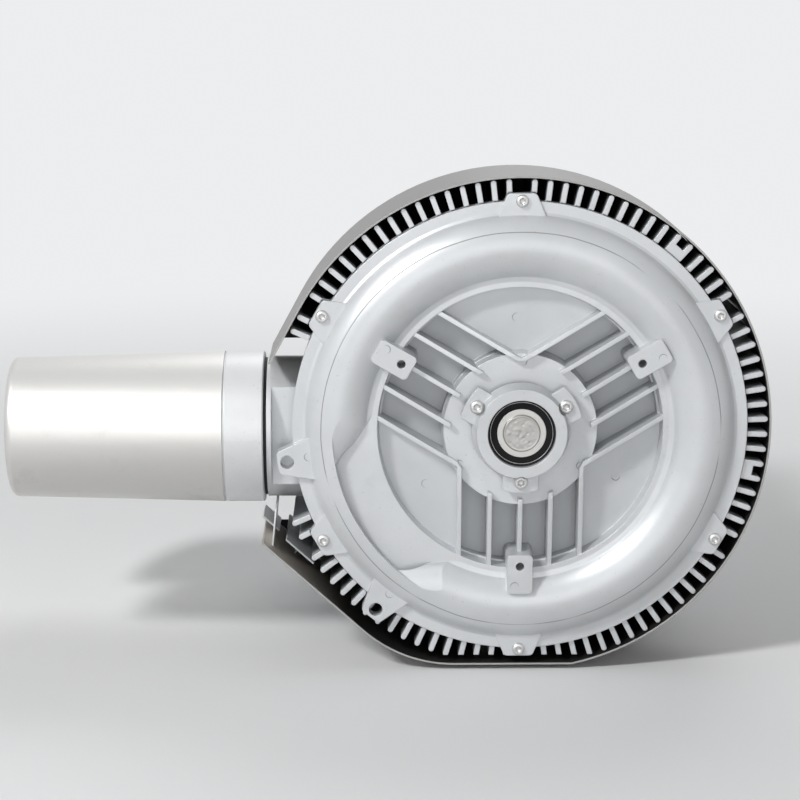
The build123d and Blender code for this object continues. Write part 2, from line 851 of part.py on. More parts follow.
with BuildPart() as rotor_shaft:
    turned(
        (
            (0, shaft_front + 1.2),
            (bearing_bore - 4.0, shaft_front + 1.2),
            (bearing_bore - 3.0, shaft_front),
            (bearing_bore - 0.8, shaft_front),
            (bearing_bore, shaft_front + 0.8),
            (bearing_bore, shaft_shoulder),
            (wheel_seat_radius, shaft_shoulder),
            (wheel_seat_radius, wheel_back),
            (seal_seat_radius, wheel_back),
            (seal_seat_radius, motor_front + 12),
            (rotor_seat_radius, motor_front + 12),
            (rotor_seat_radius, stack_front + stack_length),
            (seal_seat_radius, stack_front + stack_length),
            (seal_seat_radius, rear_bearing_front),
            (bearing_bore, rear_bearing_front),
            (bearing_bore, rear_bearing_back + wave_spring_room),
            (fan_seat_radius, rear_bearing_back + wave_spring_room),
            (fan_seat_radius, fan_front + fan_length),
            (0, fan_front + fan_length),
        )
    )
    with Locations((0, (wheel_front + wheel_back) / 2, wheel_seat_radius)):
        Box(key_width, wheel_thickness - 6, key_height, mode=Mode.SUBTRACT)
    with Locations((0, fan_front + fan_length / 2, fan_seat_radius)):
        Box(fan_key_size, fan_length, fan_key_size, mode=Mode.SUBTRACT)
finish(rotor_shaft, "rotor_shaft")

with BuildPart() as impeller_key:
    with Locations((0, (wheel_front + wheel_back) / 2, wheel_seat_radius)):
        Box(key_width - 2 * seat_gap, wheel_thickness - 6.2, key_height - 2 * seat_gap)
finish(impeller_key, "impeller_key")

with BuildPart() as impeller_spacer:
    ring(
        wheel_seat_radius + seat_gap,
        wheel_seat_radius + spacer_thickness,
        shaft_shoulder + 7 + seal_width,
        wheel_front,
    )
finish(impeller_spacer, "impeller_spacer")

with BuildPart() as impeller:
    wheel_middle = (wheel_front + wheel_back) / 2
    ring(wheel_seat_radius + seat_gap, wheel_hub_radius, wheel_front, wheel_back)
    ring(wheel_hub_radius - 1, blade_root_radius, wheel_front + 6, wheel_back - 6)
    ring(blade_root_radius - 1, blade_tip_radius, wheel_middle - web_thickness / 2, wheel_middle + web_thickness / 2)
    ring(blade_root_radius - channel_wall, blade_root_radius, wheel_front, wheel_back)
    with BuildSketch(facing(wheel_front)) as blade_faces:
        with PolarLocations((blade_root_radius + blade_tip_radius) / 2, blade_count):
            Rectangle(blade_tip_radius - blade_root_radius + 2, blade_thickness)
        Circle(blade_tip_radius, mode=Mode.INTERSECT)
    extrude(blade_faces.sketch, amount=-wheel_thickness)
    with Locations((0, wheel_middle, wheel_seat_radius)):
        Box(key_width, wheel_thickness, key_height, mode=Mode.SUBTRACT)
finish(impeller, "impeller")

with BuildPart() as rotor_core:
    ring(rotor_seat_radius + seat_gap, rotor_radius, stack_front, stack_front + stack_length)
    ring(rotor_radius - 16, rotor_radius - 2, stack_front - 8, stack_front + stack_length + 8)
finish(rotor_core, "rotor_core")

with BuildPart() as cooling_fan:
    ring(fan_seat_radius + seat_gap, fan_seat_radius + 9, fan_front, fan_front + fan_length - 2)
    ring(fan_seat_radius + 8, fan_radius - 14, fan_front, fan_front + 3)
    with BuildSketch(facing(fan_front)) as fan_blade_faces:
        with PolarLocations((fan_seat_radius + fan_radius) / 2 + 3, fan_blades):
            Rectangle(fan_radius - fan_seat_radius - 10, 2.5)
    extrude(fan_blade_faces.sketch, amount=-fan_length)
    with Locations((0, fan_front + fan_length / 2, fan_seat_radius)):
        Box(fan_key_size, fan_length, fan_key_size, mode=Mode.SUBTRACT)
finish(cooling_fan, "cooling_fan")


# ---- Motor -------------------------------------------------------------------------------------

with BuildPart() as motor_frame:
    ring(stator_radius, motor_radius, motor_front + joint_gap, motor_back)
    ring(stator_radius, motor_flange_radius, motor_front + joint_gap, motor_front + flange_thickness)
    ring(stator_radius, motor_flange_radius, motor_back - flange_thickness, motor_back)
    with BuildSketch(facing(motor_front + flange_thickness / 2)) as rib_section:
        with PolarLocations(motor_radius + motor_fin_height / 2 - 1, motor_fin_count):
            Rectangle(motor_fin_height + 2, motor_fin_width)
    extrude(rib_section.sketch, amount=motor_front - motor_back + flange_thickness)
    # Flat seat for the terminal box, with the opening for the leads
    with Locations((motor_radius + 21, box_middle, 0)):
        Box(40, box_length + 6, box_height + 6, mode=Mode.SUBTRACT)
    with Locations(((stator_radius + 2 + box_inner_face) / 2, box_middle, 0)):
        Box(box_inner_face - stator_radius - 2, box_length + 6, box_height + 6)
    with Locations((motor_radius, box_middle, 0)):
        Cylinder(lead_hole_radius, 60, rotation=(0, 90, 0), mode=Mode.SUBTRACT)
    drill(end_shield_spots, cover_screw_shank + thread_gap, motor_back - flange_thickness - 1, motor_back + 1)
    drill(end_shield_spots, cover_screw_shank + screw_play, motor_front, motor_front + flange_thickness + 1)
finish(motor_frame, "motor_frame")

with BuildPart() as stator_core:
    ring(rotor_radius + air_gap, stator_radius - seat_gap, stack_front, stack_front + stack_length)
finish(stator_core, "stator_core")

with BuildPart() as stator_windings:
    for winding_front in (stack_front - winding_reach, stack_front + stack_length):
        with BuildSketch(Plane.XY) as winding_section:
            with Locations(((rotor_radius + stator_radius) / 2 + 2, winding_front + winding_reach / 2)):
                RectangleRounded(stator_radius - rotor_radius - 14, winding_reach, 6)
        revolve(winding_section.sketch, axis=Axis.Y)
finish(stator_windings, "stator_windings")

shield_front = motor_back + seat_gap
with BuildPart() as rear_end_shield:
    ring(stator_radius - 6, motor_flange_radius, shield_front, shield_front + shield_thickness)
    ring(bearing_outer + 8, stator_radius - 5, shield_front + 4, shield_front + shield_thickness)
    ring(bearing_outer + seat_gap, bearing_outer + 9, rear_bearing_front, shield_back)
    ring(fan_seat_radius + 4, bearing_outer + 1, rear_bearing_back + wave_spring_room, shield_back)
    drill(end_shield_spots, cover_screw_shank + screw_play, shield_front - 1, shield_back + 1)
    for angle in cowl_screw_angles:
        with BuildSketch(cowl_screw_plane(angle)) as shield_hole:
            Circle(small_screw_shank + thread_gap)
        extrude(shield_hole.sketch, amount=-cowl_screw_length - 1, mode=Mode.SUBTRACT)
finish(rear_end_shield, "rear_end_shield")

with BuildPart() as end_shield_screws:
    rear_bolts(end_shield_spots, shield_front + shield_thickness, shield_thickness + flange_thickness - 2)
finish(end_shield_screws, "end_shield_screws")

with BuildPart() as motor_flange_screws:
    rear_bolts(end_shield_spots, motor_front + flange_thickness, flange_thickness + flange_screw_grip)
finish(motor_flange_screws, "motor_flange_screws")

with BuildPart() as wave_spring:
    ring(bearing_outer - 5, bearing_outer - 0.5, rear_bearing_back, rear_bearing_back + wave_spring_room)
finish(wave_spring, "wave_spring")

with BuildPart() as fan_key:
    with Locations((0, fan_front + fan_length / 2 - 2, fan_seat_radius)):
        Box(fan_key_size - 2 * seat_gap, fan_length - 8, fan_key_size - 2 * seat_gap)
finish(fan_key, "fan_key")

with BuildPart() as fan_cowl:
    with BuildSketch(Plane.XY):
        with BuildLine():
            FilletPolyline(
                (cowl_inner_radius, cowl_front),
                (cowl_inner_radius + cowl_wall, cowl_front),
                (cowl_inner_radius + cowl_wall, cowl_back),
                (0, cowl_back),
                (0, cowl_back - cowl_wall),
                (cowl_inner_radius, cowl_back - cowl_wall),
                close=True,
                radius=0.7,
            )
        make_face()
    revolve(axis=Axis.Y)
    # Inlet slots in rings across the back
    with BuildSketch(facing(cowl_back)) as grille:
        for slot_radius in grille_radii:
            Circle(slot_radius + grille_slot / 2)
            Circle(slot_radius - grille_slot / 2, mode=Mode.SUBTRACT)
        with PolarLocations(0, grille_spokes):
            with Locations((cowl_inner_radius / 2, 0)):
                Rectangle(cowl_inner_radius, grille_spoke_width, mode=Mode.SUBTRACT)
    extrude(grille.sketch, amount=4 * cowl_wall, both=True, mode=Mode.SUBTRACT)
    for angle in cowl_screw_angles:
        with BuildSketch(cowl_screw_plane(angle)) as cowl_hole:
            Circle(small_screw_shank + screw_play)
        extrude(cowl_hole.sketch, amount=-4 * cowl_wall, mode=Mode.SUBTRACT)
finish(fan_cowl, "fan_cowl")

with BuildPart() as cowl_screws:
    for angle in cowl_screw_angles:
        with BuildSketch(cowl_screw_plane(angle)) as cowl_screw_face:
            Circle(small_screw_head)
        extrude(cowl_screw_face.sketch, amount=0.7 * small_screw_head)
        with BuildSketch(cowl_screw_plane(angle)) as cowl_shank_face:
            Circle(small_screw_shank)
        extrude(cowl_shank_face.sketch, amount=-cowl_screw_length)
finish(cowl_screws, "cowl_screws")


# ---- Terminal box ------------------------------------------------------------------------------


def side_plane(x):
    """The plane square to X at the terminal box, with depth as its x and height as its y."""
    return Plane(origin=(x, box_middle, 0), x_dir=(0, 1, 0), z_dir=(1, 0, 0))


box_face = box_inner_face + box_depth
lid_screw_spacing_y = box_length - 2 * box_post
lid_screw_spacing_z = box_height - 2 * box_post

with BuildPart() as terminal_box:
    with BuildSketch(side_plane(box_inner_face)) as box_outline:
        RectangleRounded(box_length, box_height, 8)
    extrude(box_outline.sketch, amount=box_depth)
    with BuildSketch(side_plane(box_inner_face + box_wall)) as box_room:
        RectangleRounded(box_length - 2 * box_wall, box_height - 2 * box_wall, 5)
        with GridLocations(lid_screw_spacing_y, lid_screw_spacing_z, 2, 2):
            Rectangle(2 * box_post, 2 * box_post, mode=Mode.SUBTRACT)
    extrude(box_room.sketch, amount=box_depth, mode=Mode.SUBTRACT)
    with BuildSketch(side_plane(box_inner_face - 1)) as lead_hole:
        Circle(lead_hole_radius)
    extrude(lead_hole.sketch, amount=box_wall + 2, mode=Mode.SUBTRACT)
    with BuildSketch(side_plane(box_face)) as lid_holes:
        with GridLocations(lid_screw_spacing_y, lid_screw_spacing_z, 2, 2):
            Circle(small_screw_shank + thread_gap)
    extrude(lid_holes.sketch, amount=-20, mode=Mode.SUBTRACT)
    with Locations((box_inner_face + box_depth / 2, box_middle, -box_height / 2)):
        Cylinder(gland_thread_radius + thread_gap, 4 * box_wall, mode=Mode.SUBTRACT)
finish(terminal_box, "terminal_box")

with BuildPart() as terminal_lid_seal:
    with BuildSketch(side_plane(box_face)) as lid_seal_face:
        RectangleRounded(box_length - 2, box_height - 2, 7)
        RectangleRounded(box_length - 2 * box_wall, box_height - 2 * box_wall, 1, mode=Mode.SUBTRACT)
    extrude(lid_seal_face.sketch, amount=lid_seal_thickness)
finish(terminal_lid_seal, "terminal_lid_seal")

with BuildPart() as terminal_box_lid:
    with BuildSketch(side_plane(box_face + lid_seal_thickness)) as lid_outline:
        RectangleRounded(box_length, box_height, 8)
    extrude(lid_outline.sketch, amount=lid_thickness)
    chamfer(terminal_box_lid.faces().sort_by(Axis.X)[-1].edges(), 2)
    with BuildSketch(side_plane(box_face + lid_seal_thickness)) as lid_room:
        RectangleRounded(box_length - 4 * box_post, box_height - 2 * box_wall, 3)
    extrude(lid_room.sketch, amount=lid_thickness - box_wall, mode=Mode.SUBTRACT)
    with BuildSketch(side_plane(box_face)) as lid_clearance:
        with GridLocations(lid_screw_spacing_y, lid_screw_spacing_z, 2, 2):
            Circle(small_screw_shank + screw_play)
    extrude(lid_clearance.sketch, amount=lid_thickness + 4, mode=Mode.SUBTRACT)
finish(terminal_box_lid, "terminal_box_lid")

with BuildPart() as terminal_lid_screws:
    lid_top = box_face + lid_seal_thickness + lid_thickness
    with BuildSketch(side_plane(lid_top)) as lid_screw_heads:
        with GridLocations(lid_screw_spacing_y, lid_screw_spacing_z, 2, 2):
            Circle(small_screw_head)
    extrude(lid_screw_heads.sketch, amount=small_screw_head * 0.7)
    with BuildSketch(side_plane(lid_top)) as lid_screw_shanks:
        with GridLocations(lid_screw_spacing_y, lid_screw_spacing_z, 2, 2):
            Circle(small_screw_shank)
    extrude(lid_screw_shanks.sketch, amount=-lid_thickness - 12)
finish(terminal_lid_screws, "terminal_lid_screws")

with BuildPart() as terminal_board:
    board_face = box_inner_face + box_wall
    with BuildSketch(side_plane(board_face)) as board_outline:
        with Locations((lead_hole_radius + 14, 0)):
            Rectangle(board_width, board_height)
    extrude(board_outline.sketch, amount=8)
    with BuildSketch(side_plane(board_face + 8)) as stud_faces:
        with Locations((lead_hole_radius + 14, 0)):
            with GridLocations(board_width / 2, board_height / 3, 2, 3):
                Circle(small_screw_shank)
    extrude(stud_faces.sketch, amount=12)
finish(terminal_board, "terminal_board")

gland_x = box_inner_face + box_depth / 2
gland_top = -box_height / 2


def gland_plane(height):
    """The plane square to the cable gland's axis."""
    return Plane(origin=(gland_x, box_middle, height), x_dir=(1, 0, 0), z_dir=(0, 0, 1))


with BuildPart() as cable_gland_body:
    with BuildSketch(gland_plane(gland_top)) as gland_hex:
        RegularPolygon(gland_radius, 6)
    extrude(gland_hex.sketch, amount=-6)
    with BuildSketch(gland_plane(gland_top - 18)) as gland_barrel:
        Circle(gland_thread_radius)
    extrude(gland_barrel.sketch, amount=18 + box_wall + 4)
    with BuildSketch(gland_plane(gland_top - 30)) as gland_hole:
        Circle(gland_bore)
    extrude(gland_hole.sketch, amount=60, mode=Mode.SUBTRACT)
    with BuildSketch(gland_plane(gland_top - 18)) as seal_seat:
        Circle(gland_bore + gland_seal_wall)
    extrude(seal_seat.sketch, amount=gland_seal_length, mode=Mode.SUBTRACT)
finish(cable_gland_body, "cable_gland_body")

with BuildPart() as cable_gland_seal:
    with BuildSketch(gland_plane(gland_top - 18)) as gland_seal_face:
        Circle(gland_bore + gland_seal_wall - seat_gap)
        Circle(gland_bore - 1, mode=Mode.SUBTRACT)
    extrude(gland_seal_face.sketch, amount=gland_seal_length - 0.5)
finish(cable_gland_seal, "cable_gland_seal")

with BuildPart() as cable_gland_nut:
    with BuildSketch(gland_plane(gland_top - 6.3)) as nut_face:
        RegularPolygon(gland_radius, 6)
    extrude(nut_face.sketch, amount=-14)
    with BuildSketch(gland_plane(gland_top)) as nut_bore:
        Circle(gland_thread_radius + thread_gap)
    extrude(nut_bore.sketch, amount=-18.1, mode=Mode.SUBTRACT)
    with BuildSketch(gland_plane(gland_top)) as nut_mouth:
        Circle(gland_bore)
    extrude(nut_mouth.sketch, amount=-30, mode=Mode.SUBTRACT)
finish(cable_gland_nut, "cable_gland_nut")


# ---- Cooling shroud ----------------------------------------------------------------------------


def shroud_outline(depth, inset):
    """The shroud's outline seen from the front, closed across the port side, set in by inset."""
    slope_rise = (slope_foot_x - slope_end_x) * tan(radians(slope_angle))
    with BuildSketch(facing(depth)) as outline:
        Circle(shroud_radius)
        with Locations((0, shroud_bottom - shroud_radius)):
            Rectangle(4 * shroud_radius, 2 * shroud_radius, mode=Mode.SUBTRACT)
        tangent_x = shroud_radius * cos(radians(tangent_angle))
        tangent_z = shroud_radius * sin(radians(tangent_angle))
        tangent_run = (tangent_z - port_gap_top) / tan(radians(tangent_angle - 90))
        Polygon(
            (0, 0),
            (tangent_x, tangent_z),
            (tangent_x - tangent_run, port_gap_top),
            (slope_end_x, shroud_bottom + slope_rise),
            (slope_foot_x, shroud_bottom),
            (0, shroud_bottom),
            align=None,
        )
        bend = outline.vertices().sort_by_distance((slope_foot_x, shroud_bottom))[0]
        fillet(bend, slope_bend)
        if inset > 0:
            offset(amount=-inset, mode=Mode.REPLACE)
    return outline.sketch


with BuildPart() as shroud_wrap:
    extrude(shroud_outline(shroud_front, 0), amount=shroud_front - shroud_back)
    extrude(shroud_outline(shroud_front, sheet), amount=shroud_front - shroud_back, mode=Mode.SUBTRACT)
    # The port side stays open
    with BuildSketch(facing(shroud_front)) as port_side:
        port_side_bottom = shroud_bottom + (slope_foot_x - slope_end_x) * tan(radians(slope_angle)) + 1
        with Locations((-shroud_radius, (port_gap_top + port_side_bottom) / 2)):
            Rectangle(shroud_radius, port_gap_top - port_side_bottom)
    extrude(port_side.sketch, amount=shroud_front - shroud_back, mode=Mode.SUBTRACT)
    with Locations(*[(x, y, shroud_bottom) for x, y in shroud_bolt_spots]):
        Cylinder(base_bolt_radius + screw_play, 4 * sheet, mode=Mode.SUBTRACT)
finish(shroud_wrap, "shroud_wrap")

with BuildPart() as shroud_rear_panel:
    extrude(shroud_outline(panel_front, sheet + panel_gap), amount=-sheet)
    ring(0, panel_hole_radius, panel_front - 1, shroud_back + 1, mode=Mode.SUBTRACT)
    drill(panel_spots, small_screw_shank + screw_play, panel_front - 1, shroud_back + 1)
    # Room for the inlet neck and the outlet duct
    with BuildSketch(facing(panel_front)) as duct_room:
        with Locations((duct_right + duct_gap - shroud_radius, (panel_notch_top + panel_notch_bottom) / 2)):
            Rectangle(2 * shroud_radius, panel_notch_top - panel_notch_bottom)
        # A window behind one of the wider fin gaps
        with Locations(Location((0, 0), panel_window_angle)):
            with Locations((shroud_radius - panel_window_height / 2, 0)):
                Rectangle(panel_window_height, panel_window_width)
    extrude(duct_room.sketch, amount=-sheet, mode=Mode.SUBTRACT)
finish(shroud_rear_panel, "shroud_rear_panel")

with BuildPart() as panel_screws:
    with BuildSketch(facing(shroud_back)) as panel_heads:
        with Locations(*panel_spots):
            Circle(small_screw_head)
    extrude(panel_heads.sketch, amount=-0.7 * small_screw_head)
    with BuildSketch(facing(shroud_back)) as panel_shanks:
        with Locations(*panel_spots):
            Circle(small_screw_shank)
    extrude(panel_shanks.sketch, amount=panel_screw_length)
finish(panel_screws, "panel_screws")

# The slope's run direction, and a point of its outer face
slope_rise = (slope_foot_x - slope_end_x) * tan(radians(slope_angle))
slope_end_z = shroud_bottom + slope_rise


def along_slope(distance, height):
    """A point measured along the sloping sheet from its free end, and square to it inwards."""
    turn = radians(slope_angle)
    return (
        slope_end_x + distance * cos(turn) + height * sin(turn),
        slope_end_z - distance * sin(turn) + height * cos(turn),
    )


with BuildPart() as shroud_baffle:
    with BuildSketch(facing(baffle_front)) as baffle_edge:
        Polygon(
            along_slope(baffle_start, baffle_height),
            along_slope(baffle_end, baffle_height),
            along_slope(baffle_end, baffle_height + sheet),
            along_slope(baffle_start, baffle_height + sheet),
            align=None,
        )
    extrude(baffle_edge.sketch, amount=baffle_front - shroud_back + baffle_rear_gap)
    # A leg under the rear half stands on the sloping sheet
    with BuildSketch(facing(baffle_leg_front)) as baffle_leg:
        Polygon(
            along_slope(baffle_leg_at, sheet),
            along_slope(baffle_leg_at + sheet, sheet),
            along_slope(baffle_leg_at + sheet, baffle_height + sheet / 2),
            along_slope(baffle_leg_at, baffle_height + sheet / 2),
            align=None,
        )
    extrude(baffle_leg.sketch, amount=baffle_leg_front - shroud_back + baffle_rear_gap)
finish(shroud_baffle, "shroud_baffle")

# A blade from the sloping sheet up to the inlet neck, with a tab that reaches past the sheet's end
with BuildPart() as shroud_bracket:
    foot = along_slope(blade_at, sheet)
    with BuildSketch(facing(blade_front)) as blade_edge:
        Polygon(
            foot,
            along_slope(blade_at + sheet, sheet),
            (blade_top_x + sheet, blade_top_z),
            (blade_top_x, blade_top_z),
            align=None,
        )
    extrude(blade_edge.sketch, amount=-blade_depth)
    with BuildSketch(facing(tab_front)) as tab_edge:
        Polygon(
            along_slope(-tab_reach, tab_height),
            along_slope(blade_at - tab_inset, tab_height),
            along_slope(blade_at - tab_inset, tab_height + sheet),
            along_slope(-tab_reach, tab_height + sheet),
            align=None,
        )
    extrude(tab_edge.sketch, amount=-tab_depth)
finish(shroud_bracket, "shroud_bracket")


# ---- Carcass -----------------------------------------------------------------------------------

base_middle = (shroud_back + base_back) / 2
with BuildPart() as base_plate:
    with BuildSketch(Plane.XY.offset(base_bottom)):
        with Locations((base_front_offset, (base_front + base_middle) / 2)):
            Rectangle(base_front_width, base_middle - base_front)
        with Locations((0, base_middle)):
            RectangleRounded(base_rear_width, base_back - shroud_back - base_rear_gap, 10)
        with Locations(*shroud_bolt_spots, *support_bolt_spots):
            Circle(base_bolt_radius + thread_gap, mode=Mode.SUBTRACT)
        with Locations((0, base_middle)):
            with GridLocations(mount_hole_spacing_x, mount_hole_spacing_y, 2, 2):
                Circle(mount_hole_radius, mode=Mode.SUBTRACT)
    extrude(amount=base_thickness)
finish(base_plate, "base_plate")

with BuildPart() as motor_support:
    with BuildSketch(facing(support_front)) as support_outline:
        Polygon(
            (-support_width / 2, base_top),
            (support_width / 2, base_top),
            (support_width / 2, base_top + support_foot),
            (support_neck / 2 + 4, base_top + support_foot),
            (support_neck / 2, base_top + 3 * support_foot),
            (support_neck / 2, 0),
            (-support_neck / 2, 0),
            (-support_neck / 2, base_top + 3 * support_foot),
            (-support_neck / 2 - 4, base_top + support_foot),
            (-support_width / 2, base_top + support_foot),
            align=None,
        )
        Circle(motor_radius + motor_fin_height + joint_gap, mode=Mode.SUBTRACT)
        with Locations((0, base_top + support_foot + support_window / 2)):
            RectangleRounded(support_neck - 3 * support_foot, support_window, 4, mode=Mode.SUBTRACT)
    extrude(support_outline.sketch, amount=-support_length)
    with Locations(*[(x, y, base_top) for x, y in support_bolt_spots]):
        Cylinder(base_bolt_radius + screw_play, 4 * support_foot, mode=Mode.SUBTRACT)
finish(motor_support, "motor_support")

with BuildPart() as base_bolts:
    for spots, seat in (
        (shroud_bolt_spots, shroud_bottom + sheet),
        (support_bolt_spots, base_top + support_foot),
    ):
        with BuildSketch(Plane.XY.offset(seat)) as bolt_head_faces:
            with Locations(*spots):
                RegularPolygon(base_bolt_head, 6)
        extrude(bolt_head_faces.sketch, amount=base_bolt_radius * 1.3)
        with BuildSketch(Plane.XY.offset(base_bottom + 0.5)) as bolt_shank_faces:
            with Locations(*spots):
                Circle(base_bolt_radius)
        extrude(bolt_shank_faces.sketch, amount=seat - base_bottom)
finish(base_bolts, "base_bolts")


# ---- Silencers, one on each port ---------------------------------------------------------------

for port_name, port_depth, port_height in (
    ("inlet", inlet_depth, inlet_height),
    ("outlet", outlet_depth, outlet_height),
):
    collar_right = neck_end - gasket_thickness
    with BuildPart() as port_gasket:
        port_ring(thread_radius + 1, gasket_radius, neck_end, collar_right, port_depth, port_height)
    finish(port_gasket, port_name + "_port_gasket")

    with BuildPart() as silencer_collar:
        port_ring(0, collar_radius, collar_right, collar_left, port_depth, port_height)
        chamfer(silencer_collar.faces().sort_by(Axis.X)[-1].edges(), 1.0)
        # A neck for the groove and a spigot inside the shell
        port_ring(0, collar_radius - shell_wall + 0.6, collar_left, shell_right, port_depth, port_height)
        port_ring(0, spigot_radius, collar_left, shell_right - spigot_length, port_depth, port_height)
        port_ring(
            0,
            spigot_radius - shell_wall,
            collar_right - collar_floor,
            shell_right - spigot_length,
            port_depth,
            port_height,
            mode=Mode.SUBTRACT,
        )
        port_ring(
            0,
            thread_radius,
            collar_right,
            collar_right - collar_floor,
            port_depth,
            port_height,
            mode=Mode.SUBTRACT,
        )
    finish(silencer_collar, port_name + "_silencer_collar")

    # The shell tapers towards its free end and is closed by a wall with the pipe thread
    with BuildPart() as silencer_shell:
        with BuildSketch(Plane(origin=(0, port_depth, port_height), x_dir=(1, 0, 0), z_dir=(0, -1, 0))) as shell_half:
            Polygon(
                (shell_right, collar_radius - shell_wall),
                (shell_right, collar_radius),
                (shell_left, shell_small_radius),
                (shell_left, thread_radius),
                (shell_left + nozzle_length, thread_radius),
                (shell_left + nozzle_length, thread_radius + nozzle_wall),
                (shell_left + shell_wall, thread_radius + nozzle_wall),
                (shell_left + shell_wall, shell_small_radius - shell_wall),
                align=None,
            )
            shell_corners = shell_half.vertices().sort_by(Axis.X)[:4].sort_by(Axis.Y)
            fillet(shell_corners[-1], shell_edge)
        revolve(
            shell_half.sketch,
            axis=Axis((0, port_depth, port_height), (1, 0, 0)),
        )
    finish(silencer_shell, port_name + "_silencer_shell")

    with BuildPart() as silencer_tube:
        port_ring(
            tube_inner_radius,
            thread_radius - thread_gap,
            neck_end + tube_thread_length,
            shell_left + nozzle_length + 2,
            port_depth,
            port_height,
        )
        with BuildSketch(Plane(origin=(0, port_depth, port_height), x_dir=(1, 0, 0), z_dir=(0, -1, 0))) as tube_slots:
            with Locations(((shell_left + shell_right) / 2, 0)):
                with GridLocations(tube_slot_pitch, 0, tube_slot_count, 1):
                    Rectangle(tube_slot_width, thread_radius)
        extrude(tube_slots.sketch, amount=thread_radius, both=True, mode=Mode.SUBTRACT)
    finish(silencer_tube, port_name + "_silencer_tube")

    with BuildPart() as silencer_foam:
        port_ring(
            thread_radius + 0.5,
            shell_small_radius - shell_wall - 1.5,
            shell_right - 16,
            shell_left + nozzle_length + 3,
            port_depth,
            port_height,
        )
    finish(silencer_foam, port_name + "_silencer_foam")
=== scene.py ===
"""Looks and studio for the side channel blower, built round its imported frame."""

import math
import random

import bmesh
import bpy
from mathutils import Matrix, Vector
from mathutils.bvhtree import BVHTree


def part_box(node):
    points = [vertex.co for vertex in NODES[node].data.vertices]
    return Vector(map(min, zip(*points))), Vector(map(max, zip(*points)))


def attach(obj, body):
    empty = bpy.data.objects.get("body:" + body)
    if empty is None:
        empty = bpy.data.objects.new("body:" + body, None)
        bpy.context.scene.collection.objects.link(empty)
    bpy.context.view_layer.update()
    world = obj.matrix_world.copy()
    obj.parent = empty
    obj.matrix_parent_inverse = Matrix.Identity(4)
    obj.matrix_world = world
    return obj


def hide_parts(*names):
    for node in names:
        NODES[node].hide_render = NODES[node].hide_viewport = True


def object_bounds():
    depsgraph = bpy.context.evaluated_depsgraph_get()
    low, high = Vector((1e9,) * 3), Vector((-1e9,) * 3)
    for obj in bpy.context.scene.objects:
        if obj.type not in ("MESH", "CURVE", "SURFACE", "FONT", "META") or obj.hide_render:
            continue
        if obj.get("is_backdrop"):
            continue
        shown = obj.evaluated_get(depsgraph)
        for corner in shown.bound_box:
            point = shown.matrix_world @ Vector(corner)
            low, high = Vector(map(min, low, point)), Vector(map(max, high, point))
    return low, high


bl_info = {
    "name": "Side Channel Blower",
    "version": (1, 0, 0),
    "blender": (4, 5, 0),
    "location": "View3D > Sidebar > Blower",
    "description": "Finishes, fasteners and studio for a side channel blower",
    "category": "Object",
}

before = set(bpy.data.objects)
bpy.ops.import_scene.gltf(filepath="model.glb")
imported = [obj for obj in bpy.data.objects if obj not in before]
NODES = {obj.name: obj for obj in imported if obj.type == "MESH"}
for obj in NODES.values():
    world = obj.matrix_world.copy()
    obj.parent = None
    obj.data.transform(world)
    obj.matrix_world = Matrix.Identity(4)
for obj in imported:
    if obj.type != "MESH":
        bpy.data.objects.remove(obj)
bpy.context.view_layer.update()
MM = 0.001
BODY = "frame"


def box(node):
    """Lowest and highest corners of a CAD node."""
    low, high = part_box(node)
    return Vector(low), Vector(high)


# ---- Sizes and colours a user would change ----------------------------------------------------


def colour(name, description, value):
    """A colour property with no alpha."""
    return bpy.props.FloatVectorProperty(
        name=name, description=description, default=value, subtype="COLOR", size=3, min=0.0, max=1.0
    )


def distance(name, description, millimetres):
    """A length property, given here in millimetres."""
    return bpy.props.FloatProperty(
        name=name, description=description, default=millimetres * MM, unit="LENGTH", precision=5, min=0.0
    )


def share(name, description, value, low, high):
    """A share property between two limits."""
    return bpy.props.FloatProperty(name=name, description=description, default=value, min=low, max=high)


def angle(name, description, degrees):
    """An angle property, given here in degrees."""
    return bpy.props.FloatProperty(
        name=name, description=description, default=math.radians(degrees), subtype="ANGLE"
    )


def power(name, description, watts):
    """A property for a lamp's power."""
    return bpy.props.FloatProperty(name=name, description=description, default=watts, unit="POWER")


class FastenerSizes(bpy.types.PropertyGroup):
    """Heads of the screws on the cover and on the bearing retainer."""

    cover_head: distance("Cover head", "Radius of a cover screw's head", 5.1)
    retainer_head: distance("Retainer head", "Radius of a retainer screw's head", 5.6)
    height_share: share("Height share", "Head height as a share of its radius", 0.72, 0.2, 1.2)
    socket_share: share("Socket share", "Socket radius as a share of the head's", 0.47, 0.2, 0.8)
    lobes: bpy.props.IntProperty(name="Lobes", description="Lobes round the socket", default=6, min=3, max=12)
    cover_circle: distance("Cover circle", "Radius of the circle of cover screws", 184.0)
    retainer_circle: distance("Retainer circle", "Radius of the circle of retainer screws", 41.2)


class MarkSizes(bpy.types.PropertyGroup):
    """Crescents that the mould's ejector pins leave on the casting."""

    radius: distance("Mark radius", "Radius of an ejector mark", 3.3)
    width: distance("Mark width", "Width of an ejector mark's line", 0.62)
    height: distance("Mark height", "How far a mark stands up from the casting", 0.16)
    sweep: angle("Sweep", "How much of a circle a mark covers", 205)
    seed: bpy.props.IntProperty(name="Seed", description="Seed for how the marks are turned", default=7)
    floor_depth: distance("Floor depth", "Depth of the cover's flat floors", 26.0)
    hub_depth: distance("Hub depth", "Depth of the hub's face", 7.0)
    pad_depth: distance("Pad depth", "Depth of the mounting pads' faces", 0.0)
    lug_depth: distance("Lug depth", "Depth of the lifting lugs' faces", 11.5)


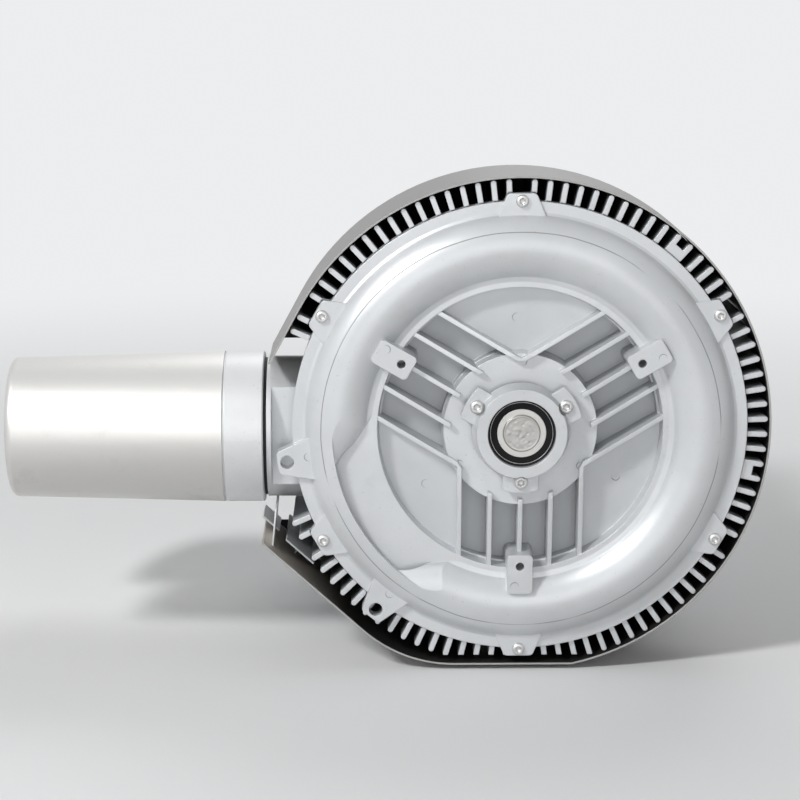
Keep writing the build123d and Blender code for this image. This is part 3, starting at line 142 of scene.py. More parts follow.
class Finishes(bpy.types.PropertyGroup):
    """Base colours."""

    casting: colour("Casting", "Silver-grey paint on the castings", (0.66, 0.675, 0.69))
    shroud: colour("Shroud", "Paint on the outside of the cooling shroud", (0.23, 0.225, 0.22))
    # Painted shade: the inside of the shroud, near black where little light reaches.
    shroud_inside_shade: colour("Shroud inside", "Inside of the cooling shroud", (0.020, 0.019, 0.018))
    baffle: colour("Baffle", "Slate paint of the baffle", (0.42, 0.44, 0.45))
    silencer: colour("Silencer", "Brushed aluminium of the silencers", (0.69, 0.68, 0.66))
    collar: colour("Collar", "Satin paint of the collars", (0.72, 0.73, 0.74))
    rubber: colour("Rubber", "Seals and gaskets", (0.009, 0.009, 0.010))
    steel: colour("Steel", "Ground and turned steel", (0.58, 0.57, 0.55))
    zinc: colour("Zinc", "Zinc-plated screws", (0.66, 0.66, 0.65))
    base: colour("Base", "Black paint of the base", (0.022, 0.022, 0.024))
    copper: colour("Copper", "Varnished windings", (0.42, 0.14, 0.045))
    plastic: colour("Plastic", "Fan and cable gland", (0.022, 0.022, 0.024))


class StudioSettings(bpy.types.PropertyGroup):
    """Camera and lamps."""

    focal: bpy.props.FloatProperty(name="Lens", description="Focal length", default=104.04, unit="CAMERA")
    pitch: angle("Pitch", "How far the camera looks down", 10.8)
    yaw: angle("Yaw", "How far the camera turns to the right", 0.9)
    away: distance("Distance", "Distance from the cover's bosses", 1850.0)
    right: distance("Right", "How far the shaft stands to the right of the middle", 97.2)
    below: distance("Below", "How far the shaft stands below the middle", 26.0)
    floor: colour("Floor", "Floor and backdrop", (0.88, 0.885, 0.89))
    backdrop: colour("Backdrop", "What the camera sees far behind the blower", (0.84, 0.85, 0.86))
    key: power("Key", "Key lamp", 41.0)
    fill: power("Fill", "Front lamp", 13.0)
    rim: power("Rim", "Rim lamp", 16.0)
    ambient: bpy.props.FloatProperty(
        name="Ambient", description="Light from all round", default=0.18, min=0.0
    )


# ---- Places and sizes of the finer forms --------------------------------------------------------

# Where the seam runs, where painted shade falls and where paint ends, each from and to, in metres
SEAM_RADIUS = 0.1606
POCKET_RIM = (0.1130, 0.1150)
POCKET_FLOOR = (0.0200, 0.0255)
SLOT_FLOOR = (0.0300, 0.0375)
FIN_ROOT = (0.1785, 0.1815)
GAP_FRONT = (0.0215, 0.0420)
GAP_REAR = (0.1165, 0.1190)
NECK_SIDE = (-0.150, -0.142)
NECK_HALF_HEIGHT = (0.0585, 0.0605)
NECK_MIDDLE = -0.0099
SHROUD_FREE_END = (-0.204, -0.135)
SPIGOT_LENGTH = 0.012

# Colours of small or hidden surfaces
BARE_EDGE = (0.52, 0.52, 0.51)
BARE_SHEET = (0.52, 0.48, 0.43)
BRACKET_PAINT = (0.80, 0.81, 0.81)
# Painted shade for the bearings' outer rings, which sit in shadow
OUTER_RING_SHADE = (0.045, 0.045, 0.05)
WHEEL_METAL = (0.66, 0.67, 0.68)
TUBE_METAL = (0.50, 0.50, 0.49)
CORE_SHEET = (0.30, 0.30, 0.31)
GREY_FOAM = (0.05, 0.05, 0.055)

# The skin over the bulge, in millimetres and degrees
BULGE_MIDDLE = 30  # straight across from the middle of the two ports
BULGE_WHOLE = 72  # where the cover's solid is whole
BULGE_SPREAD = 36.0
BULGE_INNER = 118.4
BULGE_OUTER = 156.6
BULGE_ROWS = 44
BULGE_COLUMNS = 72
BULGE_THICKNESS = 1.4
BULGE_SUNK = 0.30  # how deep the skin's border lies in the cover
BULGE_RISE = 0.42  # how far the skin rises from its border
BULGE_BORDER = 3.0  # over this width at both radii
BULGE_BORDER_TURN = 2.0  # and over this angle at both ends

# Ejector marks: radius in millimetres, angle in degrees and the setting with the depth
COVER_MARKS = ((89.5, 92, "floor_depth"), (56.5, 89, "hub_depth"), (127.5, 28, "pad_depth"))
LUG_MARKS = ((172.3, 187.3, "lug_depth"), (172.3, 232.3, "lug_depth"))
MARK_SIDES = (0, 120, 240)
MARK_STEPS = 14
MARK_TIP = 0.08  # share of the width left at a mark's tips
MARK_SECTION = ((-1, 0), (-0.6, 1), (0.6, 1), (1, 0), (0.9, -1), (-0.9, -1))
MARK_SHADE = 0.52

# The shaft's rough end and the seal's lip, in millimetres
ROUND_POINTS = 96
DENT_COUNT = 70
DENT_SEED = 11
DENT_REACH = 12.8
DENT_SIZE = (0.45, 1.7)
DENT_HEIGHT = (-0.34, 0.30)
DISH_RADIUS = 13.0
DISH_RINGS = 26
DISH_OUT = 0.40
DISH_ROUGH = (-0.34, 0.45)
SHAFT_RIM = ((14.3, -0.10), (14.6, 0.18), (14.4, 0.50), (13.9, 0.62), (13.4, 0.56))
LIP_SECTION = ((24.8, 0.0), (24.9, 0.22), (25.2, 0.22), (25.3, 0.0), (25.05, -0.1))

# The studio, in metres
FLOOR_SIDE = 7.0
FLOOR_FRONT = -6.0
SWEEP_START = 2.2
SWEEP_RADIUS = 1.2
SWEEP_STEPS = 16
WALL_TOP = 7.0
FLOOR_GLOW = (0.55, 2.4)
LAMP_AIM = Vector((-0.05, 0.1, -0.02))
LAMP_SPOTS = {  # place and size
    "key": ((-1.5, -1.45, 1.6), 0.42),
    "front": ((-0.15, -2.7, 0.25), 1.7),
    "rim": ((0.4, 1.6, 1.7), 1.4),
}
SENSOR_WIDTH = 36.0  # millimetres
FAR_CLIP = 60.0


# ---- Shader maths ------------------------------------------------------------------------------


class Socket:
    """A shader value that takes part in plain expressions."""

    def __init__(self, shading, output):
        self.shading = shading
        self.output = output

    def combine(self, operation, other, swapped=False):
        """Add a Math node for this operation."""
        first, second = (other, self) if swapped else (self, other)
        return self.shading.node("ShaderNodeMath", {"operation": operation}, {0: first, 1: second}).out()

    def __add__(self, other):
        return self.combine("ADD", other)

    def __radd__(self, other):
        return self.combine("ADD", other, True)

    def __sub__(self, other):
        return self.combine("SUBTRACT", other)

    def __rsub__(self, other):
        return self.combine("SUBTRACT", other, True)

    def __mul__(self, other):
        return self.combine("MULTIPLY", other)

    def __abs__(self):
        return self.shading.node("ShaderNodeMath", {"operation": "ABSOLUTE"}, {0: self}).out()

    def root(self):
        """Square root."""
        return self.shading.node("ShaderNodeMath", {"operation": "SQRT"}, {0: self}).out()

    def fade(self, low, high, to_low=0.0, to_high=1.0):
        """A smooth step from low to high."""
        sockets = {0: self, 1: low, 2: high, 3: to_low, 4: to_high}
        return self.shading.node("ShaderNodeMapRange", {"interpolation_type": "SMOOTHSTEP"}, sockets).out()


class Made:
    """A node just made, read through its outputs."""

    def __init__(self, shading, node):
        self.shading = shading
        self.node = node

    def out(self, name=0):
        """One output as a Socket."""
        return Socket(self.shading, self.node.outputs[name])


class Shading:
    """One material and the nodes in it."""

    def __init__(self, name):
        self.material = bpy.data.materials.new(name)
        self.material.use_nodes = True
        self.tree = self.material.node_tree
        self.tree.nodes.clear()
        self.surface = self.tree.nodes.new("ShaderNodeBsdfPrincipled")
        self.output = self.tree.nodes.new("ShaderNodeOutputMaterial")
        self.tree.links.new(self.surface.outputs[0], self.output.inputs["Surface"])
        self.place = self.node("ShaderNodeTexCoord", {}, {}).out("Object")

    def give(self, socket, value):
        """Link a Socket or set a plain value."""
        if isinstance(value, Socket):
            self.tree.links.new(value.output, socket)
        elif hasattr(value, "__len__") and len(value) == 3 and len(socket.default_value) == 4:
            socket.default_value = (*value, 1.0)
        else:
            socket.default_value = value

    def node(self, kind, settings, sockets):
        """Make a node: its settings first, then its sockets."""
        made = self.tree.nodes.new(kind)
        for name, value in settings.items():
            setattr(made, name, value)
        for name, value in sockets.items():
            self.give(made.inputs[name], value)
        return Made(self, made)

    def set(self, **values):
        """Set sockets of the surface, with underscores for spaces."""
        for name, value in values.items():
            self.give(self.surface.inputs[name.replace("_", " ").title()], value)

    def axes(self):
        """The three Object coordinates."""
        split = self.node("ShaderNodeSeparateXYZ", {}, {0: self.place})
        return split.out("X"), split.out("Y"), split.out("Z")

    def noise(self, scale, detail=3.0, rough=0.55, stretch=(1, 1, 1)):
        """Noise about the middle grey, stretched along the axes."""
        spread = self.node("ShaderNodeMapping", {}, {"Vector": self.place, "Scale": stretch}).out()
        sockets = {"Vector": spread, "Scale": scale, "Detail": detail, "Roughness": rough}
        return self.node("ShaderNodeTexNoise", {}, sockets).out(0)

    def mix(self, factor, first, second):
        """Blend two colours."""
        settings = {"data_type": "RGBA", "clamp_factor": True}
        return self.node("ShaderNodeMix", settings, {0: factor, 6: first, 7: second}).out(2)

    def rounding(self, radius):
        """The normal of edges rounded off by this radius."""
        return self.node("ShaderNodeBevel", {"samples": 4}, {"Radius": radius}).out()

    def edges(self, rounded):
        """How close a spot is to an edge, from 0 on flat faces."""
        face = self.node("ShaderNodeNewGeometry", {}, {}).out("Normal")
        alike = self.node("ShaderNodeVectorMath", {"operation": "DOT_PRODUCT"}, {0: face, 1: rounded}).out(1)
        return (1.0 - alike).fade(0.02, 0.22)

    def bump(self, height, depth, strength=1.0, rounded=None):
        """A bump over rounded edges."""
        soft = rounded or self.rounding(0.0006)
        sockets = {"Height": height, "Distance": depth, "Strength": strength, "Normal": soft}
        self.set(normal=self.node("ShaderNodeBump", {}, sockets).out())


def shade(value, factor):
    """A colour made lighter or darker."""
    return tuple(min(1.0, channel * factor) for channel in value)


def casting_finish(name, tone, seam_radius=None, painted_shade=None, rounding=0.0011):
    """Silver-grey paint over a cast skin, with soft blotches, rubbed spots, and bright edges that are partly
    wear and partly a painted highlight.

    The given mask takes the finish and its x, y, z and gives how much painted shade, a cool dark colour, lies
    there.
    """
    s = Shading(name)
    x, y, z = s.axes()
    blotch = s.noise(9.0, 4.0, 0.6)
    grain = s.noise(1500.0, 2.0, 0.5)
    skin = s.noise(260.0, 4.0, 0.6)
    scuff = s.noise(46.0, 6.0, 0.7).fade(0.60, 0.72)
    speck = s.noise(420.0, 1.0, 0.5).fade(0.70, 0.76)
    rounded = s.rounding(rounding)
    worn_and_highlit = s.edges(rounded) * s.noise(30.0, 4.0, 0.6).fade(0.30, 0.60, 0.35, 1.0)
    base = s.mix(blotch.fade(0.35, 0.68), shade(tone, 0.95), shade(tone, 1.05))
    # Painted shade: a cool dark colour wherever the given mask says shade falls.
    if painted_shade:
        base = s.mix(painted_shade(x, y, z), base, (tone[0] * 0.10, tone[1] * 0.11, tone[2] * 0.12))
    base = s.mix(scuff * 0.24, base, shade(tone, 0.84))
    base = s.mix(speck * 0.28, base, shade(tone, 0.62))
    # Bright edges: partly paint worn off, partly a painted highlight along rims and rib tops.
    base = s.mix(worn_and_highlit * 0.45, base, shade(tone, 1.35))
    height = grain * 0.3 + skin * 0.7
    if seam_radius:
        wander = s.noise(22.0, 3.0, 0.5) * 0.0016
        reach = (x * x + z * z).root() + wander
        line = 1.0 - abs(reach - seam_radius - 0.0008).fade(0.0, 0.00060)
        broken = line * s.noise(14.0, 2.0, 0.5).fade(0.34, 0.50)
        base = s.mix(broken * 0.80, base, shade(tone, 0.18))
        height = height - broken * 1.6
    s.set(base_color=base, roughness=0.34 + blotch * 0.10 + scuff * 0.10, metallic=0.35)
    s.bump(height, 0.00016, 0.5, rounded)
    return s.material


def pocket_shade(x, y, z):
    """Painted shade in the cover's pockets, darker in deeper ones."""
    reach = (x * x + z * z).root()
    inside = 1.0 - reach.fade(*POCKET_RIM)
    return inside * (y.fade(*POCKET_FLOOR) * 0.13 + y.fade(*SLOT_FLOOR) * 0.20)


def fin_gap_shade(x, y, z):
    """Painted shade down between the casing's fins, but not on the neck and the duct."""
    reach = (x * x + z * z).root()
    level = 1.0 - abs(z - NECK_MIDDLE).fade(*NECK_HALF_HEIGHT)
    clear_of_neck = 1.0 - (1.0 - x.fade(*NECK_SIDE)) * level
    deep = y.fade(*GAP_FRONT) * (1.0 - y.fade(*GAP_REAR))
    return reach.fade(*FIN_ROOT) * clear_of_neck * deep


def sheet_finish(name, outside, inside=None, front=None, gloss=0.36, bare=None):
    """Paint on sheet steel with painted shade on its inside, bare along its front edge and at its free end.
    """
    s = Shading(name)
    cloud = s.noise(7.0, 3.0, 0.5)
    peel = s.noise(520.0, 2.0, 0.5)
    scratch = s.noise(60.0, 5.0, 0.7, (1, 6, 1)).fade(0.63, 0.70)
    base = s.mix(cloud, shade(outside, 0.88), shade(outside, 1.12))
    base = s.mix(scratch * 0.35, base, shade(outside, 1.5))
    x, y, z = s.axes()
    if inside:
        inner = s.mix(cloud, shade(inside, 0.8), shade(inside, 1.3))
        if bare:
            inner = s.mix(x.fade(*SHROUD_FREE_END) * (0.85 + cloud * 0.3), bare, inner)
        facing = s.node("ShaderNodeNewGeometry", {}, {}).out("Normal")
        outwards = s.node("ShaderNodeCombineXYZ", {}, {0: x, 1: 0.0, 2: z}).out()
        outwards = s.node("ShaderNodeVectorMath", {"operation": "NORMALIZE"}, {0: outwards}).out()
        sockets = {0: facing, 1: outwards}
        towards = s.node("ShaderNodeVectorMath", {"operation": "DOT_PRODUCT"}, sockets).out(1)
        # Faces turned in towards the shaft take the inside colour, which is painted shade.
        base = s.mix(towards.fade(-0.35, 0.05), inner, base)
    if front is not None:
        edge = 1.0 - y.fade(front + 0.0001, front + 0.0007)
        base = s.mix(edge * 0.7, base, BARE_EDGE)
    s.set(base_color=base, roughness=gloss + cloud * 0.12, metallic=0.1)
    s.bump(peel, 0.00006, 0.5)
    return s.material


def metal_finish(name, tone, roughness=0.3, lines=(1, 1, 1), depth=0.00003, stain=0.12, spread=0.10):
    """Worked bare metal, with tool lines along one direction and a faint stain."""
    s = Shading(name)
    line = s.noise(900.0, 3.0, 0.6, lines)
    cloud = s.noise(11.0, 4.0, 0.6)
    rub = s.noise(38.0, 5.0, 0.65).fade(0.56, 0.70)
    base = s.mix(cloud, shade(tone, 1.0 - stain), shade(tone, 1.0 + stain * 0.5))
    base = s.mix(rub * 0.25, base, shade(tone, 0.80))
    base = s.mix(line * 0.25, base, shade(tone, 1.12))
    s.set(base_color=base, roughness=roughness + line * spread + rub * 0.08, metallic=1.0)
    s.bump(line, depth, 0.5)
    return s.material


def plain_finish(name, tone, roughness=0.6, scale=300.0, depth=0.00008, metallic=0.0, shine=0.5):
    """Rubber, plastic, foam or satin paint with a fine skin."""
    s = Shading(name)
    s.surface.inputs["Specular IOR Level"].default_value = shine
    cloud = s.noise(14.0, 3.0, 0.5)
    skin = s.noise(scale, 3.0, 0.6)
    dust = s.noise(70.0, 5.0, 0.7).fade(0.58, 0.74)
    base = s.mix(cloud, shade(tone, 0.8), shade(tone, 1.25))
    base = s.mix(dust * 0.16, base, shade(tone, 6.0))
    s.set(base_color=base, roughness=roughness + cloud * 0.12, metallic=metallic)
    s.bump(skin, depth, 0.6)
    return s.material


def layered_finish(name, tone, pitch, roughness=0.45, metallic=1.0):
    """Thin layers or turns stacked along the shaft."""
    s = Shading(name)
    along = s.axes()[1]
    wave = s.node("ShaderNodeMath", {"operation": "SINE"}, {0: along * (2 * math.pi / pitch)}).out()
    cloud = s.noise(16.0, 3.0, 0.5)
    base = s.mix(cloud, shade(tone, 0.85), shade(tone, 1.15))
    base = s.mix(wave.fade(-1.0, 0.2), shade(tone, 0.45), base)
    s.set(base_color=base, roughness=roughness + cloud * 0.1, metallic=metallic)
    s.bump(wave, 0.0001, 0.6)
    return s.material


def wear(nodes, material):
    """Give CAD nodes a finish in every slot they have."""
    for name in nodes:
        mesh = NODES[name].data
        if not mesh.materials:
            mesh.materials.append(material)
        for index in range(len(mesh.materials)):
            mesh.materials[index] = material


# ---- Mesh and Geometry Nodes helpers -----------------------------------------------------------


def keep_mesh(work, name, closed=True, smooth=True):
    """Turn bmesh work into a mesh and free it. A closed form gets outward normals."""
    if closed:
        bmesh.ops.recalc_face_normals(work, faces=work.faces)
    mesh = bpy.data.meshes.new(name)
    work.to_mesh(mesh)
    work.free()
    for face in mesh.polygons:
        face.use_smooth = smooth
    return mesh


def rings_mesh(name, rings):
    """A closed skin through rings of equal count, capped at both ends."""
    work = bmesh.new()
    loops = [[work.verts.new(point) for point in ring] for ring in rings]
    count = len(loops[0])
    for lower, upper in zip(loops, loops[1:]):
        for step in range(count):
            after = (step + 1) % count
            work.faces.new((lower[step], lower[after], upper[after], upper[step]))
    work.faces.new(list(reversed(loops[0])))
    work.faces.new(loops[-1])
    return keep_mesh(work, name)


def new_piece(name, mesh, material, body=BODY):
    """Place a finished mesh in the scene and tie it to its body."""
    piece = bpy.data.objects.new(name, mesh)
    bpy.context.scene.collection.objects.link(piece)
    mesh.materials.clear()
    mesh.materials.append(material)
    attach(piece, body)
    return piece


def pan_head(name, radius, height_share, socket_share, lobes):
    """A pan-head screw with a lobed socket, on the Y axis with its seat at the origin."""
    count = 8 * lobes
    height = radius * height_share
    socket = radius * socket_share

    def ring(reach, depth, lobe=0.0):
        points = []
        for step in range(count):
            turn = 2 * math.pi * step / count
            at = reach * (1 + lobe * math.cos(lobes * turn))
            points.append((at * math.cos(turn), -depth, at * math.sin(turn)))
        return points

    rings = [
        ring(radius * 0.96, 0.0),
        ring(radius, 0.08 * height),
        ring(radius, 0.45 * height),
        ring(radius * 0.96, 0.68 * height),
        ring(radius * 0.86, 0.86 * height),
        ring(radius * 0.70, 0.97 * height),
        ring(radius * 0.60, height),
        ring(socket * 1.05, height, 0.13),
        ring(socket, 0.95 * height, 0.15),
        ring(socket * 0.97, 0.42 * height, 0.15),
        ring(socket * 0.30, 0.36 * height),
    ]
    return rings_mesh(name, rings)


def node_tree(name, inputs):
    """An empty geometry tree with named inputs: (name, socket type, default)."""
    tree = bpy.data.node_groups.new(name, "GeometryNodeTree")
    tree.interface.new_socket("Geometry", in_out="INPUT", socket_type="NodeSocketGeometry")
    for title, kind, default in inputs:
        socket = tree.interface.new_socket(title, in_out="INPUT", socket_type=kind)
        if default is not None:
            socket.default_value = default
    tree.interface.new_socket("Geometry", in_out="OUTPUT", socket_type="NodeSocketGeometry")
    return tree


def tree_node(tree, kind, settings, sockets):
    """Make a geometry node: settings first, then socket values or links."""
    made = tree.nodes.new(kind)
    for name, value in settings.items():
        setattr(made, name, value)
    for name, value in sockets.items():
        if isinstance(value, bpy.types.NodeSocket):
            tree.links.new(value, made.inputs[name])
        else:
            made.inputs[name].default_value = value
    return made


def circle_tree():
    """Copies of a template on a circle about the shaft, each turned to face outwards."""
    tree = node_tree(
        "copies_on_circle",
        [
            ("Template", "NodeSocketObject", None),
            ("Count", "NodeSocketInt", 6),
            ("Radius", "NodeSocketFloat", 0.1),
            ("First Angle", "NodeSocketFloat", 0.0),
            ("Depth", "NodeSocketFloat", 0.0),
            ("Finish", "NodeSocketMaterial", None),
        ],
    )
    given = tree.nodes.new("NodeGroupInput")

    def maths(operation, first, second=0.0):
        return tree_node(tree, "ShaderNodeMath", {"operation": operation}, {0: first, 1: second}).outputs[0]

    index = tree_node(tree, "GeometryNodeInputIndex", {}, {}).outputs[0]
    step = maths("DIVIDE", 2 * math.pi, given.outputs["Count"])
    swing = maths("ADD", maths("MULTIPLY", index, step), given.outputs["First Angle"])
    across = maths("MULTIPLY", maths("COSINE", swing), given.outputs["Radius"])
    upward = maths("MULTIPLY", maths("SINE", swing), given.outputs["Radius"])
    sockets = {0: across, 1: given.outputs["Depth"], 2: upward}
    place = tree_node(tree, "ShaderNodeCombineXYZ", {}, sockets).outputs[0]
    turn = tree_node(tree, "ShaderNodeCombineXYZ", {}, {1: maths("MULTIPLY", swing, -1.0)}).outputs[0]
    points = tree_node(
        tree, "GeometryNodePoints", {}, {"Count": given.outputs["Count"], "Position": place}
    ).outputs[0]
    template = tree_node(tree, "GeometryNodeObjectInfo", {}, {"Object": given.outputs["Template"]})
    copies = tree_node(
        tree,
        "GeometryNodeInstanceOnPoints",
        {},
        {"Points": points, "Instance": template.outputs["Geometry"], "Rotation": turn},
    ).outputs[0]
    finish_tree(tree, given, copies)
    return tree


def spot_tree():
    """Copies of a template on the points of the object itself, each turned by chance."""
    tree = node_tree(
        "copies_on_spots",
        [
            ("Template", "NodeSocketObject", None),
            ("Seed", "NodeSocketInt", 1),
            ("Finish", "NodeSocketMaterial", None),
        ],
    )
    given = tree.nodes.new("NodeGroupInput")
    chance = tree_node(
        tree,
        "FunctionNodeRandomValue",
        {"data_type": "FLOAT_VECTOR"},
        {0: (0.0, 0.0, 0.0), 1: (0.0, 2 * math.pi, 0.0), "Seed": given.outputs["Seed"]},
    ).outputs[0]
    template = tree_node(tree, "GeometryNodeObjectInfo", {}, {"Object": given.outputs["Template"]})
    copies = tree_node(
        tree,
        "GeometryNodeInstanceOnPoints",
        {},
        {"Points": given.outputs["Geometry"], "Instance": template.outputs["Geometry"], "Rotation": chance},
    ).outputs[0]
    finish_tree(tree, given, copies)
    return tree


def finish_tree(tree, given, copies):
    """Close a tree: real mesh, then its finish."""
    real = tree_node(tree, "GeometryNodeRealizeInstances", {}, {0: copies}).outputs[0]
    done = tree_node(
        tree, "GeometryNodeSetMaterial", {}, {"Geometry": real, "Material": given.outputs["Finish"]}
    ).outputs[0]
    result = tree.nodes.new("NodeGroupOutput")
    tree.links.new(done, result.inputs[0])


def grow(name, tree, carrier, values):
    """Run a tree on a carrier mesh and keep the result as a plain mesh."""
    holder = bpy.data.objects.new(name + "_holder", carrier)
    bpy.context.scene.collection.objects.link(holder)
    modifier = holder.modifiers.new("grow", "NODES")
    modifier.node_group = tree
    for item in tree.interface.items_tree:
        if item.item_type == "SOCKET" and item.in_out == "INPUT" and item.name in values:
            modifier[item.identifier] = values[item.name]
    view = bpy.context.evaluated_depsgraph_get()
    mesh = bpy.data.meshes.new_from_object(holder.evaluated_get(view), depsgraph=view)
    mesh.name = name
    holder.modifiers.clear()
    bpy.data.objects.remove(holder)
    if not mesh.polygons:
        raise RuntimeError(name + " came out empty")
    return mesh


def template_object(name, mesh):
    """An object for a tree to copy, removed once the tree has run."""
    made = bpy.data.objects.new(name, mesh)
    bpy.context.scene.collection.objects.link(made)
    return made


# ---- Operators ---------------------------------------------------------------------------------


class BLOWER_OT_castings(bpy.types.Operator):
    """Paint the cover, the casing, the motor and the terminal box"""

    bl_idname = "blower.castings"
    bl_label = "Castings"

    def execute(self, context):
        tone = tuple(context.scene.blower_finishes.casting)
        # The cover's pockets and the gaps between the casing's fins get painted shade.
        wear(["front_cover"], casting_finish("cover_paint", tone, SEAM_RADIUS, pocket_shade))
        wear(["blower_housing"], casting_finish("casing_paint", tone, None, fin_gap_shade))
        wear(["motor_frame", "rear_end_shield"], casting_finish("motor_paint", shade(tone, 0.95)))
        wear(["terminal_box", "terminal_box_lid"], casting_finish("box_paint", shade(tone, 0.93)))
        wear(["bearing_retainer"], casting_finish("retainer_paint", shade(tone, 0.96)))
        wear(["impeller"], metal_finish("wheel_metal", WHEEL_METAL, 0.38))
        return {"FINISHED"}


class BLOWER_OT_bulge(bpy.types.Operator):
    """Skin over the channel's bulge opposite the ports, where the cover's solid is cut away"""

    bl_idname = "blower.bulge"
    bl_label = "Bulge skin"

    def execute(self, context):
        mesh = NODES["front_cover"].data
        corners = [vertex.co for vertex in mesh.vertices]
        cover = BVHTree.FromPolygons(corners, [tuple(face.vertices) for face in mesh.polygons])
        skin = []
        back = []
        for row in range(BULGE_ROWS + 1):
            reach = BULGE_INNER + (BULGE_OUTER - BULGE_INNER) * row / BULGE_ROWS
            depth = self.depth(cover, reach)
            front_row = []
            back_row = []
            for column in range(BULGE_COLUMNS + 1):
                swing = BULGE_SPREAD * (2 * column / BULGE_COLUMNS - 1)
                border = min(
                    (reach - BULGE_INNER) / BULGE_BORDER,
                    (BULGE_OUTER - reach) / BULGE_BORDER,
                    (BULGE_SPREAD - abs(swing)) / BULGE_BORDER_TURN,
                    1.0,
                )
                proud = (BULGE_RISE * border - BULGE_SUNK) * MM
                turn = math.radians(BULGE_MIDDLE + swing)
                across, up = reach * MM * math.cos(turn), reach * MM * math.sin(turn)
                front_row.append((across, depth - proud, up))
                back_row.append((across, depth - proud + BULGE_THICKNESS * MM, up))
            skin.append(front_row)
            back.append(back_row)
        new_piece("bulge_skin", self.slab(skin, back), bpy.data.materials["cover_paint"])
        return {"FINISHED"}

    def depth(self, cover, reach):
        """How deep the cover's front lies at this radius, taken where the solid is whole."""
        turn = math.radians(BULGE_WHOLE)
        start = Vector((reach * MM * math.cos(turn), -0.1, reach * MM * math.sin(turn)))
        hit = cover.ray_cast(start, Vector((0, 1, 0)))[0]
        if hit is None:
            raise RuntimeError("No cover under the bulge skin")
        return hit.y

    def slab(self, skin, back):
        """A closed slab between two grids of points."""
        work = bmesh.new()
        fronts = [[work.verts.new(point) for point in row] for row in skin]
        backs = [[work.verts.new(point) for point in row] for row in back]
        for grid in (fronts, backs):
            for lower, upper in zip(grid, grid[1:]):
                for first in range(len(lower) - 1):
                    work.faces.new((lower[first], lower[first + 1], upper[first + 1], upper[first]))
        front_rim, back_rim = self.rim(fronts), self.rim(backs)
        for first in range(len(front_rim)):
            after = (first + 1) % len(front_rim)
            work.faces.new((front_rim[first], front_rim[after], back_rim[after], back_rim[first]))
        return keep_mesh(work, "bulge_skin")

    def rim(self, grid):
        """The points round a grid's border, in order."""
        ends = [row[-1] for row in grid[1:-1]]
        starts = [row[0] for row in grid[-2:0:-1]]
        return grid[0] + ends + grid[-1][::-1] + starts


class BLOWER_OT_fasteners(bpy.types.Operator):
    """Pan-head screws round the cover and round the bearing retainer"""

    bl_idname = "blower.fasteners"
    bl_label = "Front fasteners"

    def execute(self, context):
        sizes = context.scene.blower_fasteners
        zinc = tuple(context.scene.blower_finishes.zinc)
        finish = metal_finish("screw_zinc", zinc, 0.42, (1, 1, 1), 0.00002)
        tree = circle_tree()
        groups = (
            ("cover_screw_heads", "cover_screws", sizes.cover_head, sizes.cover_circle, 6),
            ("retainer_screw_heads", "retainer_screws", sizes.retainer_head, sizes.retainer_circle, 3),
        )
        for name, node, radius, circle, count in groups:
            mesh = pan_head(name, radius, sizes.height_share, sizes.socket_share, sizes.lobes)
            template = template_object(name + "_template", mesh)
            values = {
                "Template": template,
                "Count": count,
                "Radius": circle,
                "First Angle": math.radians(30),
                "Depth": box(node)[0].y + 0.75 * radius,
                "Finish": finish,
            }
            grown = grow(name, tree, bpy.data.meshes.new(name + "_carrier"), values)
            bpy.data.objects.remove(template)
            piece = new_piece(name, grown, finish)
            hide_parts(node)
        motor = ["end_shield_screws", "motor_flange_screws", "cowl_screws", "terminal_lid_screws"]
        rest = motor + ["panel_screws", "base_bolts"]
        wear(rest, metal_finish("bolt_zinc", shade(zinc, 0.95), 0.34))
        return {"FINISHED"}


class BLOWER_OT_marks(bpy.types.Operator):
    """Crescent ejector marks on the cover"""

    bl_idname = "blower.marks"
    bl_label = "Ejector marks"

    def execute(self, context):
        sizes = context.scene.blower_marks
        tone = shade(tuple(context.scene.blower_finishes.casting), MARK_SHADE)
        spots = [(reach, turn + side, depth) for side in MARK_SIDES for reach, turn, depth in COVER_MARKS]
        work = bmesh.new()
        for reach, degrees, depth in (*spots, *LUG_MARKS):
            turn = math.radians(degrees)
            place = (reach * MM * math.cos(turn), getattr(sizes, depth), reach * MM * math.sin(turn))
            work.verts.new(place)
        carrier = keep_mesh(work, "mark_spots", closed=False)
        template = template_object("mark_template", self.crescent(sizes))
        finish = casting_finish("mark_paint", tone)
        values = {"Template": template, "Seed": sizes.seed, "Finish": finish}
        grown = grow("ejector_marks", spot_tree(), carrier, values)
        bpy.data.objects.remove(template)
        new_piece("ejector_marks", grown, finish)
        return {"FINISHED"}

    def crescent(self, sizes):
        """A low crescent that lies square to the Y axis and tapers at both ends."""
        rings = []
        for step in range(MARK_STEPS + 1):
            along = step / MARK_STEPS
            turn = sizes.sweep * (along - 0.5)
            half = max(MARK_TIP, math.sin(math.pi * along)) * sizes.width / 2
            ring = []
            for across, up in MARK_SECTION:
                reach = sizes.radius + across * half
                ring.append((reach * math.cos(turn), -up * sizes.height, reach * math.sin(turn)))
            rings.append(ring)
        return rings_mesh("mark_template", rings)


